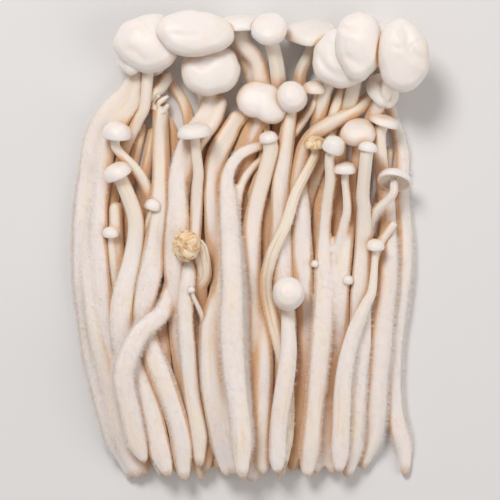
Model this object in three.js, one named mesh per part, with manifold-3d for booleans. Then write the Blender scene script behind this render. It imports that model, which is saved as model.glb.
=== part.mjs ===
// A bunch of enoki mushrooms lying on its back: long pale stalks, grown together in places, with small
// domed caps. Millimetres. X runs across the bunch, Y from the feet to the caps, Z up from the surface.
import * as THREE from "three";
import { mergeVertices } from "three/addons/utils/BufferGeometryUtils.js";
import Module from "manifold-3d";

const wasm = await Module();
wasm.setup();

// Driving dimensions
const SAMPLE_STEP = 2.5; // spacing of the balls that stand for a stalk while the bunch is piled up
const DRAPING_ROUNDS = 40;
const PRESSING_ROUNDS = 300;
const SINK_STEP = 0.3; // how far the heap sinks in a round of pressing
const HOME_PULL = 0.05; // how strongly a stalk keeps its place in plan, against being pushed aside
const PUSH_APART = 0.3; // share of an overlap that a round takes away on each side
const PAIR_MARGIN = 3;
const CLEARANCE = 0.45; // left between two stalks that only touch
const GROWN_TOGETHER = 0.62; // how near two stalks of one clump come, as a share of their radii
const FLAT_DEPTH = 0.35; // how far the lowest stalks are flattened where they lie on the surface
const CUT_GAP = 0.35; // left round a neighbour that a soft stalk is pressed against
const PRESSED = 0.66; // height of a stalk's section as a share of its width, where the bunch is pressed flat
const BELLY_FULLNESS = 1.33; // how much fuller the bellies are than where they show between others
const RING_SPACING = 24; // most that the rings along a stalk stand apart
const RING_TURN = 0.42; // most that a stalk turns from ring to ring, radians
const STALK_SIDES = 6;
const THIN_STALK_SIDES = 5;
const THIN_STALK_GIRTH = 1.7;
const LAYOUT_CENTRE = [-0.82, 0.24]; // middle of the layout below, which becomes the origin
const ROOT_SHARE = 0.1; // share of the length over which a foot swells to its full girth
const NECK_START = 0.35; // share of the length from which a stalk narrows to its neck
const RISE_LENGTH = 34; // length over which a stalk climbs to a cap that is held up
const NECK_SHARE = 0.3; // length of the straight neck under a cap: a share of the cap's radius
const NECK_LEAST = 2.5; // and this much more
const NECK_CLEAR = 7; // a stalk's own bends end this far from the neck
const DOME_MIDDLE = 0.4; // where the middle of a dome is, as a share of the cap's height
const STALK_IN_CAP = 0.45; // how far a stalk reaches into its cap, as a share of the cap's height
const ROUND_FROM = 0.8; // share of the length from which a pressed stalk is round again
const ROUND_OVER = 0.15;
const SPINE_THINNING = 2; // every second ball of the pile guides the stalk
const SPINE_STEPS = 240;
const LEAST_RING_SPACING = 2.5;
const FOOT_SHARE = 0.012; // where the rounded foot ends and the rounded tip begins, as shares of the length
const TIP_SHARE = 0.985;
const FOOT_GIRTH = 0.75;
const TIP_GIRTH = 0.85;
const TINY_CAP = 2.5; // radii of the caps that get fewer or more faces
const SMALL_CAP = 4.5;
const LARGE_CAP = 7.5;
const DRY_CRUMPLE = 0.16; // how far the rim of a dried cap goes in and out
const GILL_DEPTH = 0.14; // depth of the gills as a share of the cap's height
const RIM_DROP = -0.1; // how far the rim turns down, as a share of the cap's height
const SURFACE_BLOCK = [400, 400, 40]; // what is cut away under the surface that the bunch lies on
const MERGE_DISTANCE = 1e-4;
const STALK_COLOUR = "#efe4d6";
const DRY_COLOUR = "#d9b27c";

// Every mushroom, from the surface up. route: places that the stalk passes in plan, from its foot;
// girth: radius at the foot, along the belly and at the neck; cap.at: middle of the cap in plan;
// cap.faces: the way that the dome points; cap.wide: how much broader it is across; cap.last: its turn
// among the caps of the crown, which are laid on when every stalk is in place.
const MUSHROOMS = [
  // the lowest layer, side by side on the surface, which carries most of the crown
  { node: "crown_stalk_far_right", girth: [1.9, 2.6, 1.7],
    route: [[54, -80], [53.5, -71], [50, -60], [48, -48], [48, -35], [50, -20], [51.2, -5], [51.8, 10],
      [52.3, 23], [53, 33], [51, 42], [48, 52], [46, 62]],
    cap: { at: [43.5, 77], radius: 6.8, height: 4.2, faces: [0.1, 0.8, 0.55], last: 8 } },
  { node: "hidden_stalk_far_right", girth: [2, 2.2, 1.9],
    route: [[34, -74], [37.5, -56], [41.3, -39], [43.3, -20], [44.8, 0], [46, 14], [47.5, 26], [48.5, 36]] },
  { node: "crown_stalk_right", girth: [2.1, 2.3, 2.4],
    route: [[28, -78], [31, -58], [34.3, -39], [36.3, -20], [38, 0], [39, 20], [40.5, 38], [44, 52], [48.5, 60]],
    cap: { at: [52.4, 66.3], radius: 9.6, height: 7.8, faces: [0.12, -0.05, 0.99], wide: [0.95, 1.27],
      last: 12 } },
  { node: "crown_stalk_middle_right", girth: [2, 2.3, 2.4],
    route: [[22.5, -76], [25, -57], [28, -39], [29.8, -20], [31, 0], [32, 20], [32, 38], [33.5, 54]],
    cap: { at: [37, 70.3], radius: 8.8, height: 7.6, faces: [-0.1, 0.05, 0.99], wide: [0.88, 1.36],
      last: 11 } },
  { node: "banana_cap", girth: [2, 2.3, 2.6],
    route: [[17.5, -78], [19.5, -58], [22, -39], [23.4, -20], [24, 0], [23.5, 20], [23.5, 37], [25.5, 52]],
    cap: { at: [31.2, 66.2], radius: 10.3, height: 6.2, faces: [-0.15, 0, 0.98], last: 9 } },
  { node: "hidden_stalk_right", girth: [2, 2.2, 2],
    route: [[13, -75], [14.3, -57], [16, -39], [17, -20], [17.6, 0], [20, 18], [25, 32], [29, 43], [32, 53]],
    cap: { at: [33.5, 62.5], radius: 4.2, height: 3.2, faces: [0.1, 0.93, 0.1] } },
  { node: "flat_cap", girth: [2, 2.3, 2.2],
    route: [[8, -76], [8.8, -57], [9.8, -39], [10.6, -20], [11, 0], [12, 20], [14, 38], [16.3, 53], [18.3, 66]],
    cap: { at: [21.2, 76.3], radius: 9.4, height: 5, faces: [0, 0.9, 0.4], last: 2 } },
  { node: "small_crown_oval", girth: [2, 2.3, 2.5],
    route: [[3.5, -79], [3.8, -60], [4, -40], [4.2, -20], [4.5, 0], [6, 20], [8.5, 36], [9.8, 50], [8.7, 63]],
    cap: { at: [6.3, 76.8], radius: 6.2, height: 4.8, faces: [-0.05, 0.5, 0.86], last: 3 } },
  { node: "edge_on_cap", clump: "edge_on", girth: [2, 2.3, 3.2],
    route: [[-1.3, -78], [-1.6, -60], [-2, -40], [-2.5, -20], [-2.4, 0], [-0.5, 20], [3, 36], [5.5, 50],
      [3.5, 62], [-0.5, 72]],
    cap: { at: [-3.9, 79.4], radius: 9.3, height: 4.6, faces: [-0.05, 0.97, 0.2], last: 1 } },
  { node: "edge_on_stub", clump: "edge_on", girth: [2, 2.3, 2.7],
    route: [[-5.5, -79], [-6.3, -60], [-7.2, -40], [-7.8, -20], [-7.8, 0], [-6, 20], [-2.5, 36], [1, 50],
      [-0.5, 62], [-3.5, 71], [-7, 77]] },
  { node: "hidden_stalk_centre", girth: [2, 2.2, 2],
    route: [[-10, -74], [-11.5, -57], [-13, -39], [-14, -20], [-14, 0], [-13.5, 18], [-11.5, 33], [-11, 44],
      [-12, 54]],
    cap: { at: [-13.5, 64], radius: 4.2, height: 3.2, faces: [-0.1, 0.93, 0.1] } },
  { node: "upper_oval_cap", girth: [2, 2.3, 2],
    route: [[-14.5, -77], [-16.5, -58], [-18.8, -39], [-20, -20], [-20, 0], [-19.6, 20], [-17.5, 37],
      [-16, 50], [-18.3, 60], [-19.8, 67]],
    cap: { at: [-19.3, 75.2], radius: 11, height: 6.6, faces: [0.12, 0.25, 0.96], wide: [1.17, 0.76],
      last: 7 } },
  { node: "slender_crown_stalk", girth: [1.8, 2.2, 1.8],
    route: [[-19, -75], [-22, -57], [-25, -39], [-26.3, -20], [-26.2, 0], [-25.3, 18], [-22.5, 34],
      [-22, 46], [-26, 55], [-31, 60.5]],
    cap: { at: [-34, 65], radius: 4.6, height: 3.4, faces: [-0.4, 0.5, 0.7] } },
  { node: "crosswise_stalk", girth: [2, 2.2, 1.7],
    route: [[-23.5, -77], [-27, -58], [-30.5, -39], [-32.4, -20], [-32.3, 0], [-31, 18], [-28, 33],
      [-28.5, 43], [-34, 49], [-41, 51.5]] },
  { node: "hidden_stalk_left", girth: [2, 2.2, 2],
    route: [[-28, -75], [-32, -57], [-36, -39], [-38.6, -20], [-38.8, 0], [-38, 18], [-36, 32], [-34.5, 43]] },
  { node: "under_stalk_left", girth: [2, 2.2, 1.9],
    route: [[-33, -77], [-37, -58], [-42, -39], [-44.8, -20], [-45, 0], [-45, 20], [-42.5, 34], [-41, 46]] },
  { node: "hidden_stalk_far_left", girth: [2, 2.2, 1.9],
    route: [[-38, -75], [-43, -57], [-48, -39], [-51, -20], [-51, 0], [-48, 18], [-44, 32], [-39, 43],
      [-36, 55]],
    cap: { at: [-36, 66], radius: 4.2, height: 3, faces: [0, 0.93, 0.1] } },
  // above them, from the left side to the right
  { node: "left_clump_outer", clump: "left_clump", girth: [2.2, 2.9, 2.9],
    route: [[-41, -81], [-45, -64], [-50.5, -46], [-55.5, -28], [-58.4, -11], [-58, 6], [-57, 24], [-55.3, 39],
      [-50, 49], [-43, 55.5], [-38.5, 63]],
    cap: { at: [-36, 71.8], radius: 10.9, height: 7.4, faces: [-0.1, 0.12, 0.98], wide: [1.02, 0.95], last: 5 } },
  { node: "left_clump_middle", clump: "left_clump", girth: [2.2, 3, 2.7],
    route: [[-38, -80], [-41.5, -64], [-46.5, -46], [-51.5, -28], [-54.8, -11], [-54.8, 6], [-53.9, 24],
      [-51.8, 37.5], [-46, 46.5], [-39.5, 52.5]],
    cap: { at: [-42.3, 66.3], radius: 5.4, height: 3.4, faces: [-0.6, 0.2, 0.75], last: 4 } },
  { node: "left_clump_inner", clump: "left_clump", girth: [2, 2.7, 2.4],
    route: [[-35, -79], [-38, -64], [-42.5, -46], [-47.5, -28], [-51.2, -11], [-52.2, 6], [-51.5, 24],
      [-49.8, 36], [-44.5, 44.5], [-37.5, 50.5], [-31, 56], [-28, 62]] },
  { node: "blunt_stalk", clump: "blunt_stalk", girth: [2, 2.7, 2.4],
    route: [[-31, -80], [-34, -64], [-38, -46], [-42.5, -28], [-46.5, -11], [-48.2, 4], [-48.2, 17]] },
  { node: "button_on_blunt_stalk", clump: "blunt_stalk", girth: [1.1, 1.5, 1.3],
    route: [[-44, -30], [-46.5, -17], [-48.3, -6], [-49.2, 2]],
    cap: { at: [-49, 6], radius: 2.9, height: 2.8, faces: [0, 0.92, 0.4] } },
  { node: "left_dome", girth: [2, 2.5, 1.7],
    route: [[-26, -79], [-29.5, -62], [-33, -45], [-35.5, -28], [-36, -11], [-34.5, 4], [-34.5, 15], [-38.5, 25],
      [-44, 32]],
    cap: { at: [-46.7, 41.2], radius: 5.3, height: 5, faces: [0.05, 0.96, 0.28] } },
  { node: "brown_button", girth: [1.1, 1.5, 1.3],
    route: [[-33, -46], [-36, -30], [-36.8, -14], [-36.2, -1], [-35.2, 9]],
    cap: { at: [-34.2, 15.6], radius: 3, height: 3.2, faces: [0.25, 0.9, 0.3] } },
  { node: "torn_stalk", girth: [2.2, 3.1, 2.8],
    route: [[-24, -81], [-27.5, -64], [-33, -47], [-38, -31], [-37.5, -17], [-33.5, -5], [-31, 8], [-30.7, 22],
      [-31.3, 34], [-32, 44], [-32.8, 52]] },
  { node: "tilted_dome", girth: [2.2, 3, 2.5],
    route: [[-27, -79], [-31, -63], [-36.5, -47], [-42.3, -31], [-42.6, -16], [-40.4, -2], [-39.7, 9],
      [-43, 18.5]],
    cap: { at: [-46.9, 27.2], radius: 5.3, height: 4.4, faces: [-0.42, 0.86, 0.28] } },
  { node: "forked_clump_branch", clump: "forked_clump", girth: [2, 2.9, 2.2],
    route: [[-34, -74], [-39, -58], [-43.5, -43], [-39, -29.5], [-31, -22], [-26.5, -12], [-26.5, 1], [-27, 12]] },
  { node: "forked_clump_main", clump: "forked_clump", girth: [2.3, 3.3, 2.6],
    route: [[-17, -81], [-18.5, -64], [-20, -47], [-21.8, -31], [-23.8, -16], [-27, -3], [-27.5, 11],
      [-26.3, 24], [-22.5, 36], [-16, 47], [-13.5, 55]],
    cap: { at: [-14, 62.6], radius: 10.3, height: 6.8, faces: [0.02, 0.1, 0.99], wide: [1, 0.86], last: 6 } },
  { node: "forked_clump_second", clump: "forked_clump", girth: [2, 2.5, 2.3],
    route: [[-15, -78], [-16.5, -60], [-18.5, -42], [-20.5, -25], [-23, -10], [-24, 5], [-23, 20], [-19.3, 34],
      [-12.5, 45], [-9.5, 53.5]] },
  { node: "spread_cap", girth: [1.6, 2.1, 1.8],
    route: [[-19, -76], [-20, -58], [-22, -40], [-24, -24], [-24, -9], [-21.5, 4], [-19.4, 15], [-18.6, 28]],
    cap: { at: [-19.8, 41.3], radius: 6.1, height: 4.2, faces: [-0.08, 0.96, 0.24] } },
  { node: "pinhead_left", girth: [1, 0.95, 0.7],
    route: [[-17.6, -44], [-17.5, -32], [-18.2, -21]],
    cap: { at: [-20.8, -14], radius: 1.35, height: 1.7, faces: [-0.3, 0.9, 0.3] } },
  { node: "dried_cap", dry: true, girth: [2, 2.6, 2.7],
    route: [[-12, -78], [-13.5, -60], [-15.5, -42], [-17, -26], [-17, -14], [-14.6, -5.5], [-16.4, 0.5]],
    cap: { at: [-23.6, 1.5], radius: 5.4, height: 5, faces: [-0.9, 0.15, 0.35] } },
  { node: "heart_cap_lower_stalk", clump: "heart_cap", girth: [2.4, 3.2, 2],
    route: [[-8, -80], [-10, -63], [-13.5, -46], [-14, -30], [-12.8, -15], [-12.6, 0], [-14, 12], [-16.5, 23],
      [-15, 33.5], [-9.5, 42], [-5, 49]] },
  { node: "heart_cap_main", clump: "heart_cap", girth: [2.3, 3, 1.9],
    route: [[-5, -79], [-6.5, -62], [-9.5, -45], [-10, -29], [-9.3, -14], [-9.8, 0], [-11.5, 12], [-13, 23],
      [-9.5, 33.5], [-4, 41.5]],
    cap: { at: [1.6, 52.8], radius: 6.3, height: 5, faces: [0.05, 0.3, 0.95] } },
  { node: "heart_cap_lobe", clump: "heart_cap", girth: [1.3, 1.7, 1.5],
    route: [[-4, 16], [0, 28], [4, 38]],
    cap: { at: [7, 49], radius: 5.2, height: 4.4, faces: [0.25, 0.1, 0.95] } },
  { node: "broad_stalk_main", clump: "broad_stalk", girth: [2.8, 4.1, 2.7],
    route: [[1, -82], [1, -64], [1.5, -47], [1.2, -30], [-0.3, -14], [-0.5, 2], [1.6, 16], [5.3, 28]],
    cap: { at: [6, 39.2], radius: 3.5, height: 3.2, faces: [-0.2, 0.93, 0.3] } },
  { node: "broad_stalk_side", clump: "broad_stalk", girth: [2.2, 2.9, 1.6],
    route: [[4.5, -79], [4, -62], [3.8, -46], [3.6, -30], [2.6, -14], [1.8, 2], [3.2, 14], [6.2, 24]] },
  { node: "arched_mushroom_under", clump: "arched_mushroom", girth: [1.5, 1.9, 1.5],
    route: [[-2.5, -62], [-3.5, -42], [-4, -24], [-4.6, -6], [-5.2, 10], [-3.5, 22], [1.5, 29.5], [8, 33.5],
      [13, 37]] },
  { node: "arched_mushroom_main", clump: "arched_mushroom", girth: [2.3, 3, 1.5],
    route: [[-3, -80], [-3.5, -63], [-5.5, -46], [-6.8, -30], [-6.8, -14], [-7.4, 2], [-8.3, 15], [-8.3, 26],
      [-3.5, 33.5], [5, 36.8], [12.8, 39], [18, 44.5]],
    cap: { at: [22.6, 56.8], radius: 4.5, height: 3.6, faces: [0.02, 0.95, 0.3] } },
  { node: "rough_stalk", girth: [2.1, 2.8, 2.7],
    route: [[12, -78], [13.5, -62], [16.5, -46], [18, -31], [16.8, -15], [15.6, 0], [15.8, 14], [16.5, 27],
      [20.5, 38], [29, 43.8], [38, 48.3]],
    cap: { at: [46.5, 55.6], radius: 6.6, height: 3.4, faces: [0.6, 0.35, 0.7], last: 10 } },
  { node: "egg_cap", girth: [2.3, 3.2, 2.5],
    route: [[12, -80], [13, -63], [14.5, -46], [15.6, -31], [14, -15], [13, 0], [13, 14], [12, 27], [12.6, 38]],
    cap: { at: [14.3, 53.4], radius: 5.6, height: 5.4, faces: [0.05, 0.3, 0.95] } },
  { node: "split_stalk", dry: true, girth: [1.4, 1.7, 1.7],
    route: [[11, -76], [12.3, -60], [12, -44], [9.3, -31], [6.8, -21], [5.4, -12], [8, -2], [12.5, 8], [16, 19.5],
      [20, 28.5]],
    cap: { at: [22.3, 37.2], radius: 3.9, height: 3.4, faces: [0, 0.93, 0.3] } },
  { node: "round_button", girth: [1.8, 2.3, 2.1],
    route: [[9, -78], [9.5, -62], [11.8, -46], [13, -33], [12.6, -24]],
    cap: { at: [13, -15], radius: 5.8, height: 6.6, faces: [0.03, 0.25, 0.97] } },
  { node: "right_clump_round", clump: "right_clump", girth: [2.2, 2.9, 1.8],
    route: [[19, -80], [20, -63], [22, -46], [23.2, -31], [24, -15], [25.2, 0], [26, 12], [27.2, 24]],
    cap: { at: [29, 36.2], radius: 4.1, height: 5, faces: [0.3, 0.85, 0.4] } },
  { node: "right_clump_small", clump: "right_clump", girth: [2, 2.6, 1.6],
    route: [[23, -79], [24.5, -62], [26.3, -46], [27.6, -31], [28.7, -16], [30, -2], [31.7, 10], [32.3, 19]],
    cap: { at: [32.8, 28.3], radius: 4.1, height: 3.3, faces: [0, 0.95, 0.28] } },
  { node: "right_clump_shield", clump: "right_clump", girth: [2, 2.8, 1.7],
    route: [[29, -79], [30, -62], [31, -46], [32.3, -31], [33, -16], [34.2, -2], [35.4, 12], [35.2, 23],
      [36, 31]],
    cap: { at: [37.4, 41.2], radius: 6.3, height: 4.6, faces: [0, 0.72, 0.69] } },
  { node: "right_clump_pinhead", clump: "right_clump", girth: [0.9, 0.85, 0.7], route: [[33, -27], [33.6, -18]],
    cap: { at: [34, -10.6], radius: 2, height: 2.2, faces: [0.05, 0.85, 0.5] } },
  { node: "right_clump_speck", clump: "right_clump", girth: [0.8, 0.8, 0.6], route: [[23, -19], [22.6, -12]],
    cap: { at: [22.3, -5], radius: 1.5, height: 1.7, faces: [0, 0.85, 0.5] } },
  { node: "droopy_cap", girth: [2.2, 3.1, 2.2],
    route: [[37, -77], [39, -60], [42, -44], [44.3, -30], [45.6, -15], [46.6, 0], [46.4, 14], [45.3, 26],
      [44.8, 36]],
    cap: { at: [46.6, 45], radius: 5.4, height: 3, faces: [0.3, 0.9, 0.25] } },
  { node: "gilled_cap", girth: [1.4, 1.6, 1.4],
    route: [[35, -20], [37, -8], [38.5, 3], [41.5, 12], [46.5, 15.6]],
    cap: { at: [50, 24.8], radius: 6.2, height: 4.2, faces: [0.12, 0.95, -0.12] } },
  { node: "fuzzy_stalk", girth: [2.2, 3, 2.2],
    route: [[33, -80], [34, -63], [35, -46], [36.3, -31], [37.6, -16], [38.8, -2], [39.6, 12], [38.8, 24]],
    cap: { at: [40.5, 35.5], radius: 3.4, height: 3, faces: [0.15, 0.93, 0.2] } },
  { node: "cut_stub", girth: [1.2, 1.4, 1.45],
    route: [[40, -26], [42.3, -14], [44, -5], [46, 2], [50.5, 9]] },
  { node: "right_button", girth: [1.9, 2.4, 1.25],
    route: [[31, -78], [32, -62], [33, -46], [35.5, -31], [39, -20.5], [42, -13], [43.2, -5]],
    cap: { at: [43.3, 1.6], radius: 3.2, height: 3, faces: [0, 0.92, 0.35] } },
];

// The pile: where the stalks and caps come to rest on one another. Heights in it are those of round
// stalks; the pressed section is given when they are placed.

const smooth = (t) => {
  const u = Math.min(1, Math.max(0, t));
  return u * u * (3 - 2 * u);
};

function radiusAt(share, [foot, narrow, neck]) {
  const belly = narrow * BELLY_FULLNESS;
  if (share < ROOT_SHARE) return foot + (belly - foot) * smooth(share / ROOT_SHARE);
  return belly + (neck - belly) * smooth((share - NECK_START) / (1 - NECK_START));
}

function reachOf(a, b) {
  const together = a.clump !== undefined && a.clump === b.clump;
  return together ? (a.r + b.r) * GROWN_TOGETHER : a.r + b.r + CLEARANCE;
}

// Height at which a ball rests on what is already in the pile.
function restHeight(ball, pile) {
  let z = ball.r - FLAT_DEPTH;
  for (const other of pile) {
    const reach = reachOf(ball, other);
    const apart = (ball.x - other.x) ** 2 + (ball.y - other.y) ** 2;
    if (apart < reach * reach) z = Math.max(z, other.z + Math.sqrt(reach * reach - apart));
  }
  return z;
}

function blurred(z) {
  return z.map((here, i) => (z[Math.max(0, i - 1)] + 2 * here + z[Math.min(z.length - 1, i + 1)]) / 4);
}

// A stalk laid over obstacles: a springy line that stays above every height it has to clear.
function draped(clear) {
  const widest = clear.map((here, i) => Math.max(here, clear[i - 1] ?? here, clear[i + 1] ?? here));
  let z = widest;
  for (let round = 0; round < DRAPING_ROUNDS; round += 1) {
    z = blurred(z).map((here, i) => Math.max(here, widest[i]));
  }
  return z;
}

function axisOf(cap) {
  return new THREE.Vector3(...cap.faces).normalize();
}

// Middle of the cap's underside in plan: cap.at is the middle of the dome.
function underside(cap) {
  const axis = axisOf(cap);
  return [cap.at[0] - axis.x * cap.height * DOME_MIDDLE, cap.at[1] - axis.y * cap.height * DOME_MIDDLE];
}

function stalkSamples(mushroom) {
  const plan = mushroom.route.map(([x, y]) => new THREE.Vector3(x, y, 0));
  if (mushroom.cap) plan.push(new THREE.Vector3(...underside(mushroom.cap), 0));
  const curve = new THREE.CatmullRomCurve3(plan, false, "catmullrom", 0.5);
  const count = Math.max(4, Math.round(curve.getLength() / SAMPLE_STEP));
  return curve.getSpacedPoints(count).map((p, i) => ({
    x: p.x, y: p.y, home: [p.x, p.y], r: radiusAt(i / count, mushroom.girth), clump: mushroom.clump, mushroom,
  }));
}

function pairsNear(balls) {
  const pairs = [];
  balls.forEach((a, i) => {
    for (let j = i + 1; j < balls.length; j += 1) {
      const b = balls[j];
      if (a.mushroom === b.mushroom) continue;
      const reach = reachOf(a, b);
      const far = reach + PAIR_MARGIN;
      if (Math.abs(a.x - b.x) < far && Math.abs(a.y - b.y) < far && Math.abs(a.z - b.z) < far) {
        pairs.push([a, b, reach]);
      }
    }
  });
  return pairs;
}

// The loose heap sinks: stalks slip sideways past one another until they lie close, and bend smoothly.
function pressTogether(stalks) {
  const balls = stalks.flat();
  let pairs = [];
  for (let round = 0; round < PRESSING_ROUNDS; round += 1) {
    if (round % 10 === 0) pairs = pairsNear(balls);
    const sinking = round < PRESSING_ROUNDS * 0.8 ? SINK_STEP : 0;
    for (const ball of balls) {
      ball.move = [(ball.home[0] - ball.x) * HOME_PULL, (ball.home[1] - ball.y) * HOME_PULL, -sinking];
    }
    for (const [a, b, reach] of pairs) {
      const gap = [a.x - b.x, a.y - b.y, a.z - b.z];
      const distance = Math.hypot(...gap);
      if (distance >= reach || distance < 1e-6) continue;
      const push = (PUSH_APART * (reach - distance)) / distance;
      for (let k = 0; k < 3; k += 1) {
        a.move[k] += gap[k] * push;
        b.move[k] -= gap[k] * push;
      }
    }
    for (const ball of balls) {
      ball.x += ball.move[0];
      ball.y += ball.move[1];
      ball.z = Math.max(ball.r - FLAT_DEPTH, ball.z + ball.move[2]);
    }
    for (const stalk of stalks) {
      for (let k = 0; k < 2; k += 1) {
        const key = k === 0 ? "x" : "y";
        const shifts = blurred(blurred(stalk.map((ball) => ball[key] - ball.home[k])));
        stalk.forEach((ball, i) => { ball[key] = ball.home[k] + shifts[i]; });
      }
      const heights = blurred(blurred(stalk.map((ball) => ball.z)));
      stalk.forEach((ball, i) => { ball.z = heights[i]; });
    }
  }
}

// The balls that stand for a cap, placed from the middle of its underside.
function capBalls(mushroom) {
  const { cap, clump } = mushroom;
  const turn = new THREE.Quaternion().setFromUnitVectors(new THREE.Vector3(0, 0, 1), axisOf(cap));
  const [wideX, wideY] = cap.wide ?? [1, 1];
  const [x, y] = underside(cap);
  const balls = [];
  const ring = (count, share, lift, size) => {
    for (let i = 0; i < count; i += 1) {
      const angle = (i / count) * 2 * Math.PI;
      const reach = cap.radius * share;
      const middle = new THREE.Vector3(reach * wideX * Math.cos(angle), reach * wideY * Math.sin(angle),
        cap.height * lift).applyQuaternion(turn);
      balls.push({
        x: x + middle.x, y: y + middle.y, lift: middle.z / PRESSED, r: cap.height * size, clump, mushroom,
      });
    }
  };
  ring(12, 0.84, 0.2, 0.24);
  ring(8, 0.5, 0.4, 0.36);
  ring(1, 0, 0.5, 0.45);
  return balls;
}

// Sets the cap on the pile and lifts the upper part of the stalk to it.
function seatCap(mushroom, pile) {
  const { cap, samples } = mushroom;
  const balls = capBalls(mushroom);
  const end = samples[samples.length - 1];
  const neck = (Math.max(0, axisOf(cap).z) * neckLength(cap)) / PRESSED;
  let z = end.z + neck;
  for (const ball of balls) z = Math.max(z, restHeight(ball, pile) - ball.lift);
  const rise = Math.max(0, z - neck - end.z);
  samples.forEach((s, i) => {
    s.z += rise * smooth(((i + 1 - samples.length) * SAMPLE_STEP + RISE_LENGTH) / RISE_LENGTH);
  });
  mushroom.base = new THREE.Vector3(...underside(cap), z * PRESSED);
  for (const ball of balls) ball.z = z + ball.lift;
  return balls;
}

const neckLength = (cap) => cap.radius * NECK_SHARE + NECK_LEAST;

function pileUp(mushrooms) {
  const heap = [];
  for (const mushroom of mushrooms) {
    mushroom.samples = stalkSamples(mushroom);
    const heights = draped(mushroom.samples.map((ball) => restHeight(ball, heap)));
    mushroom.samples.forEach((ball, i) => { ball.z = heights[i]; });
    heap.push(...mushroom.samples);
  }
  pressTogether(mushrooms.map((m) => m.samples));
  const pile = [];
  for (const mushroom of mushrooms) {
    if (mushroom.cap && !mushroom.cap.last) pile.push(...seatCap(mushroom, pile));
    pile.push(...mushroom.samples);
  }
  const crown = mushrooms.filter((m) => m.cap?.last).sort((a, b) => a.cap.last - b.cap.last);
  for (const mushroom of crown) {
    pile.push(...seatCap(mushroom, pile.filter((ball) => ball.mushroom !== mushroom)));
  }
}

// The solids

// The line that a stalk's middle follows in space, ending inside its cap.
function spineOf(mushroom) {
  const { samples, cap, base } = mushroom;
  const points = samples.map((s) => new THREE.Vector3(s.x, s.y, s.z * PRESSED));
  const last = points.length - 1;
  if (!cap) return new THREE.CatmullRomCurve3(points.filter((p, i) => i % SPINE_THINNING === 0 || i === last));
  const axis = axisOf(cap);
  const neck = base.clone().addScaledVector(axis, -neckLength(cap));
  const kept = points.filter((p, i) => (
    i % SPINE_THINNING === 0 && p.distanceTo(neck) > NECK_CLEAR && i < points.length - 4
  ));
  const end = base.clone().addScaledVector(axis, cap.height * STALK_IN_CAP);
  return new THREE.CatmullRomCurve3([...kept, neck, base, end]);
}

// Where the rings go, as shares of the spine's length: close where it bends.
function ringShares(spine) {
  const length = spine.getLength();
  const shares = [0, FOOT_SHARE];
  let turned = 0;
  for (let i = 4; i < SPINE_STEPS - 3; i += 1) {
    const share = i / SPINE_STEPS;
    turned += spine.getTangentAt(share).angleTo(spine.getTangentAt((i - 1) / SPINE_STEPS));
    const far = (share - shares[shares.length - 1]) * length;
    if (far > RING_SPACING || (far > LEAST_RING_SPACING && turned > RING_TURN)) {
      shares.push(share);
      turned = 0;
    }
  }
  return [...shares, TIP_SHARE, 1];
}

// Frames along the spine that don't twist.
function framesAlong(spine, shares, swell) {
  let side = new THREE.Vector3(1, 0, 0);
  return shares.map((share) => {
    const ahead = spine.getTangentAt(share);
    const beyond = share <= FOOT_SHARE ? -swell : share >= TIP_SHARE ? swell : 0;
    const middle = spine.getPointAt(share).addScaledVector(ahead, beyond);
    side = side.clone().addScaledVector(ahead, -side.dot(ahead)).normalize();
    return { middle, side, up: new THREE.Vector3().crossVectors(side, ahead) };
  });
}

// A turned profile, its height running from 0 to 1, bent along the spine.
function stalkGeometry(mushroom, swell) {
  const spine = spineOf(mushroom);
  const shares = ringShares(spine);
  const last = shares.length - 1;
  const profile = shares.map((share, i) => {
    const r = radiusAt(share, mushroom.girth) + swell;
    if (i === 0 || i === last) return new THREE.Vector2(0, share);
    if (i === 1) return new THREE.Vector2(r * FOOT_GIRTH, share);
    return new THREE.Vector2(i === last - 1 && !mushroom.cap ? r * TIP_GIRTH : r, share);
  });
  const sides = mushroom.girth[1] < THIN_STALK_GIRTH ? THIN_STALK_SIDES : STALK_SIDES;
  const geometry = new THREE.LatheGeometry(profile, sides);
  const frames = framesAlong(spine, shares, swell);
  const place = geometry.attributes.position;
  for (let i = 0; i < place.count; i += 1) {
    const { middle, side, up } = frames[i % profile.length];
    const flat = PRESSED + (1 - PRESSED) * smooth((shares[i % profile.length] - ROUND_FROM) / ROUND_OVER);
    const p = middle.clone().addScaledVector(side, place.getX(i)).addScaledVector(up, place.getZ(i) * flat);
    place.setXYZ(i, p.x, p.y, p.z);
  }
  return geometry;
}

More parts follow.
